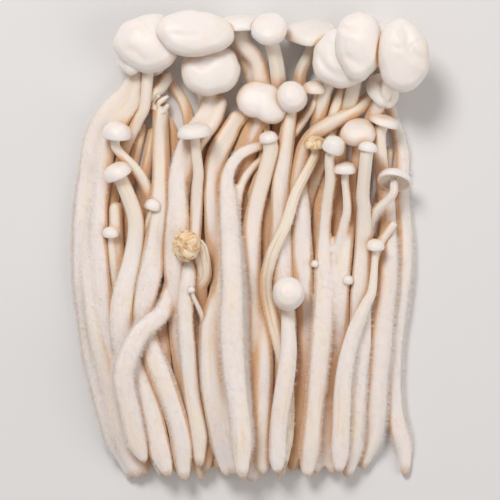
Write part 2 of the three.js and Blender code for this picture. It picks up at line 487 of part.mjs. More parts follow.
// A dome with a rolled-in rim over an underside of gills. The profile's height is in cap heights.
function capGeometry({ cap, base, dry }, swell) {
  const small = cap.radius < SMALL_CAP;
  const segments = cap.radius < TINY_CAP ? 6 : small ? 8 : cap.radius < LARGE_CAP ? 10 : 14;
  const profile = [[0, 0.12], [0.34, 0.1], [0.74, 0], [0.9, RIM_DROP], [1, 0.1], [0.93, 0.46], [0.66, 0.82],
    [0.3, 0.97], [0, 1]].filter((p, i) => !(small && (i === 1 || i === 7)));
  const underRing = small ? 1 : 2;
  const radius = cap.radius + swell;
  const height = cap.height + 2 * swell;
  const geometry = new THREE.LatheGeometry(profile.map(([x, y]) => new THREE.Vector2(x, y)), segments);
  const place = geometry.attributes.position;
  const [wideX, wideY] = cap.wide ?? [1, 1];
  for (let i = 0; i < place.count; i += 1) {
    const row = i % profile.length;
    const spoke = Math.floor(i / profile.length) % segments;
    const gill = row === underRing ? GILL_DEPTH * (spoke % 2 === 0 ? 1 : -0.6) : 0;
    const crumple = dry ? 1 + DRY_CRUMPLE * Math.sin(spoke * 2.4) : 1;
    const angle = Math.atan2(place.getZ(i), place.getX(i));
    const wave = 1 + 0.035 * Math.sin(2 * angle + cap.radius * 3) + 0.02 * Math.sin(3 * angle + cap.height * 5);
    const x = place.getX(i) * radius * wideX * wave * crumple;
    const z = place.getZ(i) * radius * wideY * wave * crumple;
    const lift = swell > 0 && row < 3 ? RIM_DROP : place.getY(i) + gill;
    place.setXYZ(i, x, -z, lift * height - swell);
  }
  const turn = new THREE.Quaternion().setFromUnitVectors(new THREE.Vector3(0, 0, 1), axisOf(cap));
  geometry.applyQuaternion(turn);
  geometry.translate(base.x, base.y, base.z);
  return geometry;
}

// A closed geometry as a solid. Triangles that have shrunk to a line, as at a pole, are dropped.
function solidOf(geometry) {
  geometry.deleteAttribute("normal");
  geometry.deleteAttribute("uv");
  const merged = mergeVertices(geometry, MERGE_DISTANCE);
  const corners = [];
  const index = merged.index.array;
  for (let i = 0; i < index.length; i += 3) {
    const [a, b, c] = [index[i], index[i + 1], index[i + 2]];
    if (a !== b && b !== c && c !== a) corners.push(a, b, c);
  }
  const make = (triVerts) => new wasm.Manifold(new wasm.Mesh({
    numProp: 3, vertProperties: merged.attributes.position.array, triVerts: new Uint32Array(triVerts),
  }));
  const solid = make(corners);
  if (solid.volume() > 0) return solid;
  for (let i = 0; i < corners.length; i += 3) [corners[i + 1], corners[i + 2]] = [corners[i + 2], corners[i + 1]];
  return make(corners);
}

function geometryOf(solid) {
  const { vertProperties, triVerts, numProp, numVert } = solid.getMesh();
  const positions = new Float32Array(numVert * 3);
  for (let i = 0; i < numVert; i += 1) {
    positions.set(vertProperties.subarray(i * numProp, i * numProp + 3), i * 3);
  }
  const geometry = new THREE.BufferGeometry();
  geometry.setAttribute("position", new THREE.BufferAttribute(positions, 3));
  geometry.setIndex(new THREE.BufferAttribute(new Uint32Array(triVerts), 1));
  geometry.computeVertexNormals();
  return geometry;
}

// Stalk and cap as one solid. swell makes it larger all round, to press a hollow into a neighbour.
function mushroomSolid(mushroom, swell = 0) {
  const stalk = solidOf(stalkGeometry(mushroom, swell));
  return mushroom.cap ? stalk.add(solidOf(capGeometry(mushroom, swell))) : stalk;
}

function largestPiece(solid) {
  return solid.decompose().sort((a, b) => b.volume() - a.volume())[0];
}

// The space under the surface that the bunch lies on, as a solid to cut with.
function underSurface() {
  const block = new THREE.BoxGeometry(...SURFACE_BLOCK);
  block.translate(0, 0, -SURFACE_BLOCK[2] / 2);
  return solidOf(block);
}

function buildNodes() {
  pileUp(MUSHROOMS);
  const under = underSurface();
  const names = [...new Set(MUSHROOMS.map((m) => m.clump ?? m.node))];
  const nodes = names.map((name) => {
    const members = MUSHROOMS.filter((m) => (m.clump ?? m.node) === name);
    const joined = (swell) => members.map((m) => mushroomSolid(m, swell)).reduce((a, b) => a.add(b));
    return { name, dry: members.some((m) => m.dry), joined, solid: largestPiece(joined(0).subtract(under)) };
  });
  nodes.forEach((node, i) => {
    for (const lower of nodes.slice(0, i)) {
      if (node.solid.intersect(lower.solid).volume() > 0) {
        node.solid = largestPiece(node.solid.subtract(lower.joined(CUT_GAP)));
      }
    }
  });
  return nodes;
}

const bunch = new THREE.Group();
for (const { name, dry, solid } of buildNodes()) {
  const material = new THREE.MeshStandardMaterial({
    color: dry ? DRY_COLOUR : STALK_COLOUR, roughness: 0.6, metalness: 0,
  });
  const geometry = geometryOf(solid);
  geometry.translate(-LAYOUT_CENTRE[0], -LAYOUT_CENTRE[1], 0);
  const mesh = new THREE.Mesh(geometry, material);
  mesh.name = name;
  bunch.add(mesh);
}

export default bunch;
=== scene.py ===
# A bunch of enoki mushrooms lying on its back: long pale stalks with a soft nap, grown together in
# places, and small domed caps crowded at one end. The layout is in millimetres, in the part's frame.
import copy
import math

import bpy
import numpy as np
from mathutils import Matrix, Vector, noise


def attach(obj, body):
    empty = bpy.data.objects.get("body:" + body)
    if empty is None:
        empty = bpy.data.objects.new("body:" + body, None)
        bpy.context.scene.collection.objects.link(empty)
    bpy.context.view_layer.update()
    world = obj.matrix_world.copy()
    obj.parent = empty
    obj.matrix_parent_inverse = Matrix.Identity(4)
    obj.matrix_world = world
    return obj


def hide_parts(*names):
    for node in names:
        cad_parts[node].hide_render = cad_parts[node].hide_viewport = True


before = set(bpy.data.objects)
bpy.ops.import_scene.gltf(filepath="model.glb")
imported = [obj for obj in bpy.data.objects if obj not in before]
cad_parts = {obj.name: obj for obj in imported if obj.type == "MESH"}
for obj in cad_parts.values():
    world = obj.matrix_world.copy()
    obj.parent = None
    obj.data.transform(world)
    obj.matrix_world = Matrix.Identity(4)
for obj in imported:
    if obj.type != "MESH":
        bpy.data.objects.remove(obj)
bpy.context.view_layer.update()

MM = 0.001
PHOTO_PIXEL = 0.353  # millimetres of the bunch to a pixel of the photograph
PHOTO_WIDTH = 500  # pixels
CAMERA_HEIGHT = 900  # millimetres
CAMERA_PLAN = (0.00047, -0.00059)  # metres
SENSOR_WIDTH = 36  # millimetres

# How the bunch lies, as in the part. Lengths are in millimetres
SAMPLE_STEP = 2.5  # spacing of the balls that stand for a stalk while the bunch is piled up
PRESSED = 0.66  # height of a stalk's section as a share of its width
DRAPING_ROUNDS = 40
PRESSING_ROUNDS = 300
SINKING_SHARE = 0.8  # share of those rounds in which the heap sinks
PAIRS_EVERY = 10  # rounds from one search for neighbours to the next
SINK_STEP = 0.3  # how far the heap sinks in a round of pressing
HOME_PULL = 0.05  # how strongly a stalk keeps its place in plan, against being pushed aside
PUSH_APART = 0.3  # share of an overlap that a round takes away on each side
PAIR_MARGIN = 3
CLEARANCE = 0.45  # left between two stalks that only touch
GROWN_TOGETHER = 0.62  # how near two stalks of one clump come, as a share of their radii
FLAT_DEPTH = 0.35  # how far the lowest stalks are flattened where they lie on the surface
BELLY_FULLNESS = 1.33  # how much fuller the bellies are than where they show between others
ROOT_SHARE = 0.1  # share of the length over which a foot swells to its full girth
NECK_START = 0.35  # share of the length from which a stalk narrows to its neck
RISE_LENGTH = 34  # length over which a stalk climbs to a cap that is held up
NECK_SHARE = 0.3  # length of the straight neck under a cap: a share of the cap's radius
NECK_LEAST = 2.5  # and this much more
NECK_CLEAR = 7  # a stalk's own bends end this far from the neck
DOME_MIDDLE = 0.4  # where the middle of a dome is, as a share of the cap's height
STALK_IN_CAP = 0.45  # how far a stalk reaches into its cap, as a share of the cap's height
ROUND_FROM = 0.8  # share of the length from which a pressed stalk is round again
ROUND_OVER = 0.15
SPINE_THINNING = 2  # every second ball of the pile guides the stalk
LAYOUT_CENTRE = (-0.82, 0.24)  # middle of the layout below, which becomes the origin
# The balls that stand for a cap: how many, how far out, how high and how big, as shares of its size
CAP_BALLS = ((12, 0.84, 0.2, 0.24), (8, 0.5, 0.4, 0.36), (1, 0, 0.5, 0.45))
TINY = 1e-6

# How finely the pieces are made
RING_STEP = 1.0  # from one ring of a stalk to the next
STALK_SIDES = 24
CLUMP_VOXEL = 0.7  # stalks that have grown together are melted at this size
CLUMP_SMOOTHING = 9
LOBE_VOXEL = 0.5
LOBE_SMOOTHING = 22
LOBE_GROWTH = 1.1  # melting shrinks a lobe by this much
LOBED_CAPS = ("heart_cap",)
CAP_SEGMENTS = 96
CAP_RINGS = 40
LARGE_CAP = 4.5  # radius from which a cap has all its faces
SHADE_STEP = 3  # rings of a neighbour that shade as one
SHADE_REACH = 16
CREVICE_TINT_AND_SHADE_WIDTH = 1.3  # of the warm line where two stalks meet: honey colour, with painted shade in the crevice
SEAM_WIDTH = 0.8  # and where two have grown together
NEIGHBOUR_REACH = 7
SKIN_GAP = 0.1  # a stalk is pressed in where its neighbour is nearer than this
DEEPEST_DENT = 2.5
GRAIN_SHIFT = 211  # from the grain of one stalk to that of the next
BATCH = 3000  # places that are measured at once
PRESS_REACH = 1.06  # caps closer than this share of their size press on each other
PRESS_SHARE = 0.55
CONTACT_WIDTH = 0.5  # of the line where two caps meet, tinted honey with painted shade
PRESSING_BODY = (0.34, 0.68)  # middle and half height of what a cap presses with, in cap heights
DEEPEST_PRESS = 0.4
# Which places count as a cap, its neck and its underside, as shares of the cap or the neck
CAP_HEIGHTS = (-0.25, 1.2)
CAP_EDGE = 1.15
NECK_EDGE = 1.15
NECK_HEIGHT = 0.13
UNDERSIDE_HEIGHT = 0.16
UNDERSIDE_EDGE = 0.86
GILL_TONES = (0.6, 0.4)  # of the underside, and how much the gills vary it
# how strongly the seam between grown-together stalks is tinted: honey colour with painted shade
SEAM_TINT_AND_SHADE = 0.8
SLIM_FROM = 2.7  # radius in millimetres below which a stalk starts to count as slim
SLIM_OVER = 1.5
NAP_DENSITY = 20  # hairs to a square millimetre of open belly
NAP_LENGTH = (0.8, 2.4)  # shortest and longest hair
NAP_ON_TOP = 0.15  # how thick the nap is on the flat top of a stalk, against its sides
NAP_RADIUS = 0.045
NAP_LEAN = 0.6  # how far the hairs lean, against their length
NAP_ROOT = 0.1  # how deep a hair is rooted
NAP_SEED = 20
# Where the nap stands: each pair is where it begins or ends, and over how much it thickens or thins
NAP_FROM_FOOT = (0.03, 0.08)  # shares of the length
NAP_TO_NECK = (0.9, 0.35)
NAP_IN_OPEN = (0.95, 0.35)  # how much of what a place faces is filled by its neighbours
NAP_UNDERSIDE = (0.45, 0.35)  # how far a face looks up
NAP_SHOULDERS = (0.85, 0.5)

# Every mushroom, from the surface up. route: places that the stalk passes in plan, from its foot;
# girth: radius at the foot, along the belly and at the neck; at: middle of the cap in plan;
# faces: the way that the dome points; wide: how much broader it is across; last: its turn among the
# caps of the crown, which are laid on when every stalk is in place.
MUSHROOMS = [
  # the lowest layer, side by side on the surface, which carries most of the crown
  {"node": "crown_stalk_far_right", "girth": [1.9, 2.6, 1.7],
    "route": [[54, -80], [53.5, -71], [50, -60], [48, -48], [48, -35], [50, -20], [51.2, -5], [51.8, 10],
      [52.3, 23], [53, 33], [51, 42], [48, 52], [46, 62]],
    "cap": {"at": [43.5, 77], "radius": 6.8, "height": 4.2, "faces": [0.1, 0.8, 0.55], "last": 8}},
  {"node": "hidden_stalk_far_right", "girth": [2, 2.2, 1.9],
    "route": [[34, -74], [37.5, -56], [41.3, -39], [43.3, -20], [44.8, 0], [46, 14], [47.5, 26],
      [48.5, 36]]},
  {"node": "crown_stalk_right", "girth": [2.1, 2.3, 2.4],
    "route": [[28, -78], [31, -58], [34.3, -39], [36.3, -20], [38, 0], [39, 20], [40.5, 38], [44, 52],
      [48.5, 60]],
    "cap": {"at": [52.4, 66.3], "radius": 9.6, "height": 7.8, "faces": [0.12, -0.05, 0.99],
      "wide": [0.95, 1.27], "last": 12}},
  {"node": "crown_stalk_middle_right", "girth": [2, 2.3, 2.4],
    "route": [[22.5, -76], [25, -57], [28, -39], [29.8, -20], [31, 0], [32, 20], [32, 38], [33.5, 54]],
    "cap": {"at": [37, 70.3], "radius": 8.8, "height": 7.6, "faces": [-0.1, 0.05, 0.99],
      "wide": [0.88, 1.36], "last": 11}},
  {"node": "banana_cap", "girth": [2, 2.3, 2.6],
    "route": [[17.5, -78], [19.5, -58], [22, -39], [23.4, -20], [24, 0], [23.5, 20], [23.5, 37],
      [25.5, 52]],
    "cap": {"at": [31.2, 66.2], "radius": 10.3, "height": 6.2, "faces": [-0.15, 0, 0.98], "last": 9}},
  {"node": "hidden_stalk_right", "girth": [2, 2.2, 2],
    "route": [[13, -75], [14.3, -57], [16, -39], [17, -20], [17.6, 0], [20, 18], [25, 32], [29, 43],
      [32, 53]],
    "cap": {"at": [33.5, 62.5], "radius": 4.2, "height": 3.2, "faces": [0.1, 0.93, 0.1]}},
  {"node": "flat_cap", "girth": [2, 2.3, 2.2],
    "route": [[8, -76], [8.8, -57], [9.8, -39], [10.6, -20], [11, 0], [12, 20], [14, 38], [16.3, 53],
      [18.3, 66]],
    "cap": {"at": [21.2, 76.3], "radius": 9.4, "height": 5, "faces": [0, 0.9, 0.4], "last": 2}},
  {"node": "small_crown_oval", "girth": [2, 2.3, 2.5],
    "route": [[3.5, -79], [3.8, -60], [4, -40], [4.2, -20], [4.5, 0], [6, 20], [8.5, 36], [9.8, 50],
      [8.7, 63]],
    "cap": {"at": [6.3, 76.8], "radius": 6.2, "height": 4.8, "faces": [-0.05, 0.5, 0.86], "last": 3}},
  {"node": "edge_on_cap", "clump": "edge_on", "girth": [2, 2.3, 3.2],
    "route": [[-1.3, -78], [-1.6, -60], [-2, -40], [-2.5, -20], [-2.4, 0], [-0.5, 20], [3, 36], [5.5, 50],
      [3.5, 62], [-0.5, 72]],
    "cap": {"at": [-3.9, 79.4], "radius": 9.3, "height": 4.6, "faces": [-0.05, 0.97, 0.2], "last": 1}},
  {"node": "edge_on_stub", "clump": "edge_on", "girth": [2, 2.3, 2.7],
    "route": [[-5.5, -79], [-6.3, -60], [-7.2, -40], [-7.8, -20], [-7.8, 0], [-6, 20], [-2.5, 36], [1, 50],
      [-0.5, 62], [-3.5, 71], [-7, 77]]},
  {"node": "hidden_stalk_centre", "girth": [2, 2.2, 2],
    "route": [[-10, -74], [-11.5, -57], [-13, -39], [-14, -20], [-14, 0], [-13.5, 18], [-11.5, 33],
      [-11, 44], [-12, 54]],
    "cap": {"at": [-13.5, 64], "radius": 4.2, "height": 3.2, "faces": [-0.1, 0.93, 0.1]}},
  {"node": "upper_oval_cap", "girth": [2, 2.3, 2],
    "route": [[-14.5, -77], [-16.5, -58], [-18.8, -39], [-20, -20], [-20, 0], [-19.6, 20], [-17.5, 37],
      [-16, 50], [-18.3, 60], [-19.8, 67]],
    "cap": {"at": [-19.3, 75.2], "radius": 11, "height": 6.6, "faces": [0.12, 0.25, 0.96],
      "wide": [1.17, 0.76], "last": 7}},
  {"node": "slender_crown_stalk", "girth": [1.8, 2.2, 1.8],
    "route": [[-19, -75], [-22, -57], [-25, -39], [-26.3, -20], [-26.2, 0], [-25.3, 18], [-22.5, 34],
      [-22, 46], [-26, 55], [-31, 60.5]],
    "cap": {"at": [-34, 65], "radius": 4.6, "height": 3.4, "faces": [-0.4, 0.5, 0.7]}},
  {"node": "crosswise_stalk", "girth": [2, 2.2, 1.7],
    "route": [[-23.5, -77], [-27, -58], [-30.5, -39], [-32.4, -20], [-32.3, 0], [-31, 18], [-28, 33],
      [-28.5, 43], [-34, 49], [-41, 51.5]]},
  {"node": "hidden_stalk_left", "girth": [2, 2.2, 2],
    "route": [[-28, -75], [-32, -57], [-36, -39], [-38.6, -20], [-38.8, 0], [-38, 18], [-36, 32],
      [-34.5, 43]]},
  {"node": "under_stalk_left", "girth": [2, 2.2, 1.9],
    "route": [[-33, -77], [-37, -58], [-42, -39], [-44.8, -20], [-45, 0], [-45, 20], [-42.5, 34],
      [-41, 46]]},
  {"node": "hidden_stalk_far_left", "girth": [2, 2.2, 1.9],
    "route": [[-38, -75], [-43, -57], [-48, -39], [-51, -20], [-51, 0], [-48, 18], [-44, 32], [-39, 43],
      [-36, 55]],
    "cap": {"at": [-36, 66], "radius": 4.2, "height": 3, "faces": [0, 0.93, 0.1]}},
  # above them, from the left side to the right
  {"node": "left_clump_outer", "clump": "left_clump", "girth": [2.2, 2.9, 2.9],
    "route": [[-41, -81], [-45, -64], [-50.5, -46], [-55.5, -28], [-58.4, -11], [-58, 6], [-57, 24],
      [-55.3, 39],
      [-50, 49], [-43, 55.5], [-38.5, 63]],
    "cap": {"at": [-36, 71.8], "radius": 10.9, "height": 7.4, "faces": [-0.1, 0.12, 0.98],
      "wide": [1.02, 0.95], "last": 5}},
  {"node": "left_clump_middle", "clump": "left_clump", "girth": [2.2, 3, 2.7],
    "route": [[-38, -80], [-41.5, -64], [-46.5, -46], [-51.5, -28], [-54.8, -11], [-54.8, 6], [-53.9, 24],
      [-51.8, 37.5], [-46, 46.5], [-39.5, 52.5]],
    "cap": {"at": [-42.3, 66.3], "radius": 5.4, "height": 3.4, "faces": [-0.6, 0.2, 0.75], "last": 4}},
  {"node": "left_clump_inner", "clump": "left_clump", "girth": [2, 2.7, 2.4],
    "route": [[-35, -79], [-38, -64], [-42.5, -46], [-47.5, -28], [-51.2, -11], [-52.2, 6], [-51.5, 24],
      [-49.8, 36], [-44.5, 44.5], [-37.5, 50.5], [-31, 56], [-28, 62]]},
  {"node": "blunt_stalk", "clump": "blunt_stalk", "girth": [2, 2.7, 2.4],
    "route": [[-31, -80], [-34, -64], [-38, -46], [-42.5, -28], [-46.5, -11], [-48.2, 4], [-48.2, 17]]},
  {"node": "button_on_blunt_stalk", "clump": "blunt_stalk", "girth": [1.1, 1.5, 1.3],
    "route": [[-44, -30], [-46.5, -17], [-48.3, -6], [-49.2, 2]],
    "cap": {"at": [-49, 6], "radius": 2.9, "height": 2.8, "faces": [0, 0.92, 0.4]}},
  {"node": "left_dome", "girth": [2, 2.5, 1.7],
    "route": [[-26, -79], [-29.5, -62], [-33, -45], [-35.5, -28], [-36, -11], [-34.5, 4], [-34.5, 15],
      [-38.5, 25],
      [-44, 32]],
    "cap": {"at": [-46.7, 41.2], "radius": 5.3, "height": 5, "faces": [0.05, 0.96, 0.28]}},
  {"node": "brown_button", "girth": [1.1, 1.5, 1.3],
    "route": [[-33, -46], [-36, -30], [-36.8, -14], [-36.2, -1], [-35.2, 9]],
    "cap": {"at": [-34.2, 15.6], "radius": 3, "height": 3.2, "faces": [0.25, 0.9, 0.3]}},
  {"node": "torn_stalk", "girth": [2.2, 3.1, 2.8],
    "route": [[-24, -81], [-27.5, -64], [-33, -47], [-38, -31], [-37.5, -17], [-33.5, -5], [-31, 8],
      [-30.7, 22],
      [-31.3, 34], [-32, 44], [-32.8, 52]]},
  {"node": "tilted_dome", "girth": [2.2, 3, 2.5],
    "route": [[-27, -79], [-31, -63], [-36.5, -47], [-42.3, -31], [-42.6, -16], [-40.4, -2], [-39.7, 9],
      [-43, 18.5]],
    "cap": {"at": [-46.9, 27.2], "radius": 5.3, "height": 4.4, "faces": [-0.42, 0.86, 0.28]}},
  {"node": "forked_clump_branch", "clump": "forked_clump", "girth": [2, 2.9, 2.2],
    "route": [[-34, -74], [-39, -58], [-43.5, -43], [-39, -29.5], [-31, -22], [-26.5, -12], [-26.5, 1],
      [-27, 12]]},
  {"node": "forked_clump_main", "clump": "forked_clump", "girth": [2.3, 3.3, 2.6],
    "route": [[-17, -81], [-18.5, -64], [-20, -47], [-21.8, -31], [-23.8, -16], [-27, -3], [-27.5, 11],
      [-26.3, 24], [-22.5, 36], [-16, 47], [-13.5, 55]],
    "cap": {"at": [-14, 62.6], "radius": 10.3, "height": 6.8, "faces": [0.02, 0.1, 0.99],
      "wide": [1, 0.86], "last": 6}},
  {"node": "forked_clump_second", "clump": "forked_clump", "girth": [2, 2.5, 2.3],
    "route": [[-15, -78], [-16.5, -60], [-18.5, -42], [-20.5, -25], [-23, -10], [-24, 5], [-23, 20],
      [-19.3, 34],
      [-12.5, 45], [-9.5, 53.5]]},
  {"node": "spread_cap", "girth": [1.6, 2.1, 1.8],
    "route": [[-19, -76], [-20, -58], [-22, -40], [-24, -24], [-24, -9], [-21.5, 4], [-19.4, 15],
      [-18.6, 28]],
    "cap": {"at": [-19.8, 41.3], "radius": 6.1, "height": 4.2, "faces": [-0.08, 0.96, 0.24]}},
  {"node": "pinhead_left", "girth": [1, 0.95, 0.7],
    "route": [[-17.6, -44], [-17.5, -32], [-18.2, -21]],
    "cap": {"at": [-20.8, -14], "radius": 1.35, "height": 1.7, "faces": [-0.3, 0.9, 0.3]}},
  {"node": "dried_cap", "dry": True, "girth": [2, 2.6, 2.7],
    "route": [[-12, -78], [-13.5, -60], [-15.5, -42], [-17, -26], [-17, -14], [-14.6, -5.5], [-16.4, 0.5]],
    "cap": {"at": [-23.6, 1.5], "radius": 5.4, "height": 5, "faces": [-0.9, 0.15, 0.35]}},
  {"node": "heart_cap_lower_stalk", "clump": "heart_cap", "girth": [2.4, 3.2, 2],
    "route": [[-8, -80], [-10, -63], [-13.5, -46], [-14, -30], [-12.8, -15], [-12.6, 0], [-14, 12],
      [-16.5, 23],
      [-15, 33.5], [-9.5, 42], [-5, 49]]},
  {"node": "heart_cap_main", "clump": "heart_cap", "girth": [2.3, 3, 1.9],
    "route": [[-5, -79], [-6.5, -62], [-9.5, -45], [-10, -29], [-9.3, -14], [-9.8, 0], [-11.5, 12],
      [-13, 23],
      [-9.5, 33.5], [-4, 41.5]],
    "cap": {"at": [1.6, 52.8], "radius": 6.3, "height": 5, "faces": [0.05, 0.3, 0.95]}},
  {"node": "heart_cap_lobe", "clump": "heart_cap", "girth": [1.3, 1.7, 1.5],
    "route": [[-4, 16], [0, 28], [4, 38]],
    "cap": {"at": [7, 49], "radius": 5.2, "height": 4.4, "faces": [0.25, 0.1, 0.95]}},
  {"node": "broad_stalk_main", "clump": "broad_stalk", "girth": [2.8, 4.1, 2.7],
    "route": [[1, -82], [1, -64], [1.5, -47], [1.2, -30], [-0.3, -14], [-0.5, 2], [1.6, 16], [5.3, 28]],
    "cap": {"at": [6, 39.2], "radius": 3.5, "height": 3.2, "faces": [-0.2, 0.93, 0.3]}},
  {"node": "broad_stalk_side", "clump": "broad_stalk", "girth": [2.2, 2.9, 1.6],
    "route": [[4.5, -79], [4, -62], [3.8, -46], [3.6, -30], [2.6, -14], [1.8, 2], [3.2, 14], [6.2, 24]]},
  {"node": "arched_mushroom_under", "clump": "arched_mushroom", "girth": [1.5, 1.9, 1.5],
    "route": [[-2.5, -62], [-3.5, -42], [-4, -24], [-4.6, -6], [-5.2, 10], [-3.5, 22], [1.5, 29.5],
      [8, 33.5],
      [13, 37]]},
  {"node": "arched_mushroom_main", "clump": "arched_mushroom", "girth": [2.3, 3, 1.5],
    "route": [[-3, -80], [-3.5, -63], [-5.5, -46], [-6.8, -30], [-6.8, -14], [-7.4, 2], [-8.3, 15],
      [-8.3, 26],
      [-3.5, 33.5], [5, 36.8], [12.8, 39], [18, 44.5]],
    "cap": {"at": [22.6, 56.8], "radius": 4.5, "height": 3.6, "faces": [0.02, 0.95, 0.3]}},
  {"node": "rough_stalk", "girth": [2.1, 2.8, 2.7],
    "route": [[12, -78], [13.5, -62], [16.5, -46], [18, -31], [16.8, -15], [15.6, 0], [15.8, 14],
      [16.5, 27],
      [20.5, 38], [29, 43.8], [38, 48.3]],
    "cap": {"at": [46.5, 55.6], "radius": 6.6, "height": 3.4, "faces": [0.6, 0.35, 0.7], "last": 10}},
  {"node": "egg_cap", "girth": [2.3, 3.2, 2.5],
    "route": [[12, -80], [13, -63], [14.5, -46], [15.6, -31], [14, -15], [13, 0], [13, 14], [12, 27],
      [12.6, 38]],
    "cap": {"at": [14.3, 53.4], "radius": 5.6, "height": 5.4, "faces": [0.05, 0.3, 0.95]}},
  {"node": "split_stalk", "dry": True, "girth": [1.4, 1.7, 1.7],
    "route": [[11, -76], [12.3, -60], [12, -44], [9.3, -31], [6.8, -21], [5.4, -12], [8, -2], [12.5, 8],
      [16, 19.5],
      [20, 28.5]],
    "cap": {"at": [22.3, 37.2], "radius": 3.9, "height": 3.4, "faces": [0, 0.93, 0.3]}},
  {"node": "round_button", "girth": [1.8, 2.3, 2.1],
    "route": [[9, -78], [9.5, -62], [11.8, -46], [13, -33], [12.6, -24]],
    "cap": {"at": [13, -15], "radius": 5.8, "height": 6.6, "faces": [0.03, 0.25, 0.97]}},
  {"node": "right_clump_round", "clump": "right_clump", "girth": [2.2, 2.9, 1.8],
    "route": [[19, -80], [20, -63], [22, -46], [23.2, -31], [24, -15], [25.2, 0], [26, 12], [27.2, 24]],
    "cap": {"at": [29, 36.2], "radius": 4.1, "height": 5, "faces": [0.3, 0.85, 0.4]}},
  {"node": "right_clump_small", "clump": "right_clump", "girth": [2, 2.6, 1.6],
    "route": [[23, -79], [24.5, -62], [26.3, -46], [27.6, -31], [28.7, -16], [30, -2], [31.7, 10],
      [32.3, 19]],
    "cap": {"at": [32.8, 28.3], "radius": 4.1, "height": 3.3, "faces": [0, 0.95, 0.28]}},
  {"node": "right_clump_shield", "clump": "right_clump", "girth": [2, 2.8, 1.7],
    "route": [[29, -79], [30, -62], [31, -46], [32.3, -31], [33, -16], [34.2, -2], [35.4, 12], [35.2, 23],
      [36, 31]],
    "cap": {"at": [37.4, 41.2], "radius": 6.3, "height": 4.6, "faces": [0, 0.72, 0.69]}},
  {"node": "right_clump_pinhead", "clump": "right_clump", "girth": [0.9, 0.85, 0.7],
    "route": [[33, -27], [33.6, -18]],
    "cap": {"at": [34, -10.6], "radius": 2, "height": 2.2, "faces": [0.05, 0.85, 0.5]}},
  {"node": "right_clump_speck", "clump": "right_clump", "girth": [0.8, 0.8, 0.6],
    "route": [[23, -19], [22.6, -12]],
    "cap": {"at": [22.3, -5], "radius": 1.5, "height": 1.7, "faces": [0, 0.85, 0.5]}},
  {"node": "droopy_cap", "girth": [2.2, 3.1, 2.2],
    "route": [[37, -77], [39, -60], [42, -44], [44.3, -30], [45.6, -15], [46.6, 0], [46.4, 14], [45.3, 26],
      [44.8, 36]],
    "cap": {"at": [46.6, 45], "radius": 5.4, "height": 3, "faces": [0.3, 0.9, 0.25]}},
  {"node": "gilled_cap", "girth": [1.4, 1.6, 1.4],
    "route": [[35, -20], [37, -8], [38.5, 3], [41.5, 12], [46.5, 15.6]],
    "cap": {"at": [50, 24.8], "radius": 6.2, "height": 4.2, "faces": [0.12, 0.95, -0.12]}},
  {"node": "fuzzy_stalk", "girth": [2.2, 3, 2.2],
    "route": [[33, -80], [34, -63], [35, -46], [36.3, -31], [37.6, -16], [38.8, -2], [39.6, 12],
      [38.8, 24]],
    "cap": {"at": [40.5, 35.5], "radius": 3.4, "height": 3, "faces": [0.15, 0.93, 0.2]}},
  {"node": "cut_stub", "girth": [1.2, 1.4, 1.45],
    "route": [[40, -26], [42.3, -14], [44, -5], [46, 2], [50.5, 9]]},
  {"node": "right_button", "girth": [1.9, 2.4, 1.25],
    "route": [[31, -78], [32, -62], [33, -46], [35.5, -31], [39, -20.5], [42, -13], [43.2, -5]],
    "cap": {"at": [43.3, 1.6], "radius": 3.2, "height": 3, "faces": [0, 0.92, 0.35]}},
]

# The pile: where the stalks and caps come to rest on one another

def smooth(t):
    u = np.clip(t, 0, 1)
    return u * u * (3 - 2 * u)


def ramp(t, start, end):
    """Rises smoothly from 0 at start to 1 at end."""
    return smooth((t - start) / (end - start))


def radius_at(share, girth):
    foot, narrow, neck = girth
    belly = narrow * BELLY_FULLNESS
    root = foot + (belly - foot) * smooth(share / ROOT_SHARE)
    above = belly + (neck - belly) * smooth((share - NECK_START) / (1 - NECK_START))
    return np.where(share < ROOT_SHARE, root, above)


def curve_points(stations, shares):
    """Points of a smooth curve through the stations."""
    p = np.asarray(stations, float)
    ends = np.vstack([2 * p[0] - p[1], p, 2 * p[-1] - p[-2]])
    u = np.clip(shares, 0, 1) * (len(p) - 1)
    i = np.minimum(u.astype(int), len(p) - 2)
    w = (u - i)[:, None]
    before, start, end, after = ends[i], ends[i + 1], ends[i + 2], ends[i + 3]
    out, into = (end - before) / 2, (after - start) / 2
    return ((2 * w**3 - 3 * w**2 + 1) * start + (w**3 - 2 * w**2 + w) * out
            + (3 * w**2 - 2 * w**3) * end + (w**3 - w**2) * into)


def spaced_points(stations, step, least=4):
    """Points at even distances along the curve, about a step apart."""
    shares = np.linspace(0, 1, 201)
    fine = curve_points(stations, shares)
    travelled = np.concatenate([[0], np.cumsum(np.linalg.norm(np.diff(fine, axis=0), axis=1))])
    count = max(least, int(travelled[-1] / step + 0.5))
    goals = np.linspace(0, travelled[-1], count + 1)
    return curve_points(stations, np.interp(goals, travelled, shares))


def turn_to(axis):
    """The turn that takes straight up to an axis, as a matrix for row vectors."""
    turn = Vector((0, 0, 1)).rotation_difference(Vector(axis)).to_matrix()
    return np.array(turn).T


class Cap:
    def __init__(self, at, radius, height, faces, wide=(1, 1), last=0):
        self.radius = radius
        self.height = height
        self.axis = np.array(faces) / np.linalg.norm(faces)
        self.wide = wide
        self.last = last
        self.base_plan = np.array(at) - self.axis[:2] * height * DOME_MIDDLE
        self.neck_length = radius * NECK_SHARE + NECK_LEAST
        self.neck_axis = self.axis
        self.base = None

    def balls(self):
        """Balls that stand for the cap in the pile, from the middle of its underside."""
        rows = []
        for count, share, lift, size in CAP_BALLS:
            angle = np.arange(count) / count * 2 * math.pi
            reach = self.radius * share
            offset = np.stack([reach * self.wide[0] * np.cos(angle), reach * self.wide[1] * np.sin(angle),
                               np.full(count, self.height * lift)], axis=1) @ turn_to(self.axis)
            rows.append(np.column_stack([self.base_plan[0] + offset[:, 0], self.base_plan[1] + offset[:, 1],
                                         offset[:, 2] / PRESSED, np.full(count, self.height * size)]))
        return np.vstack(rows)


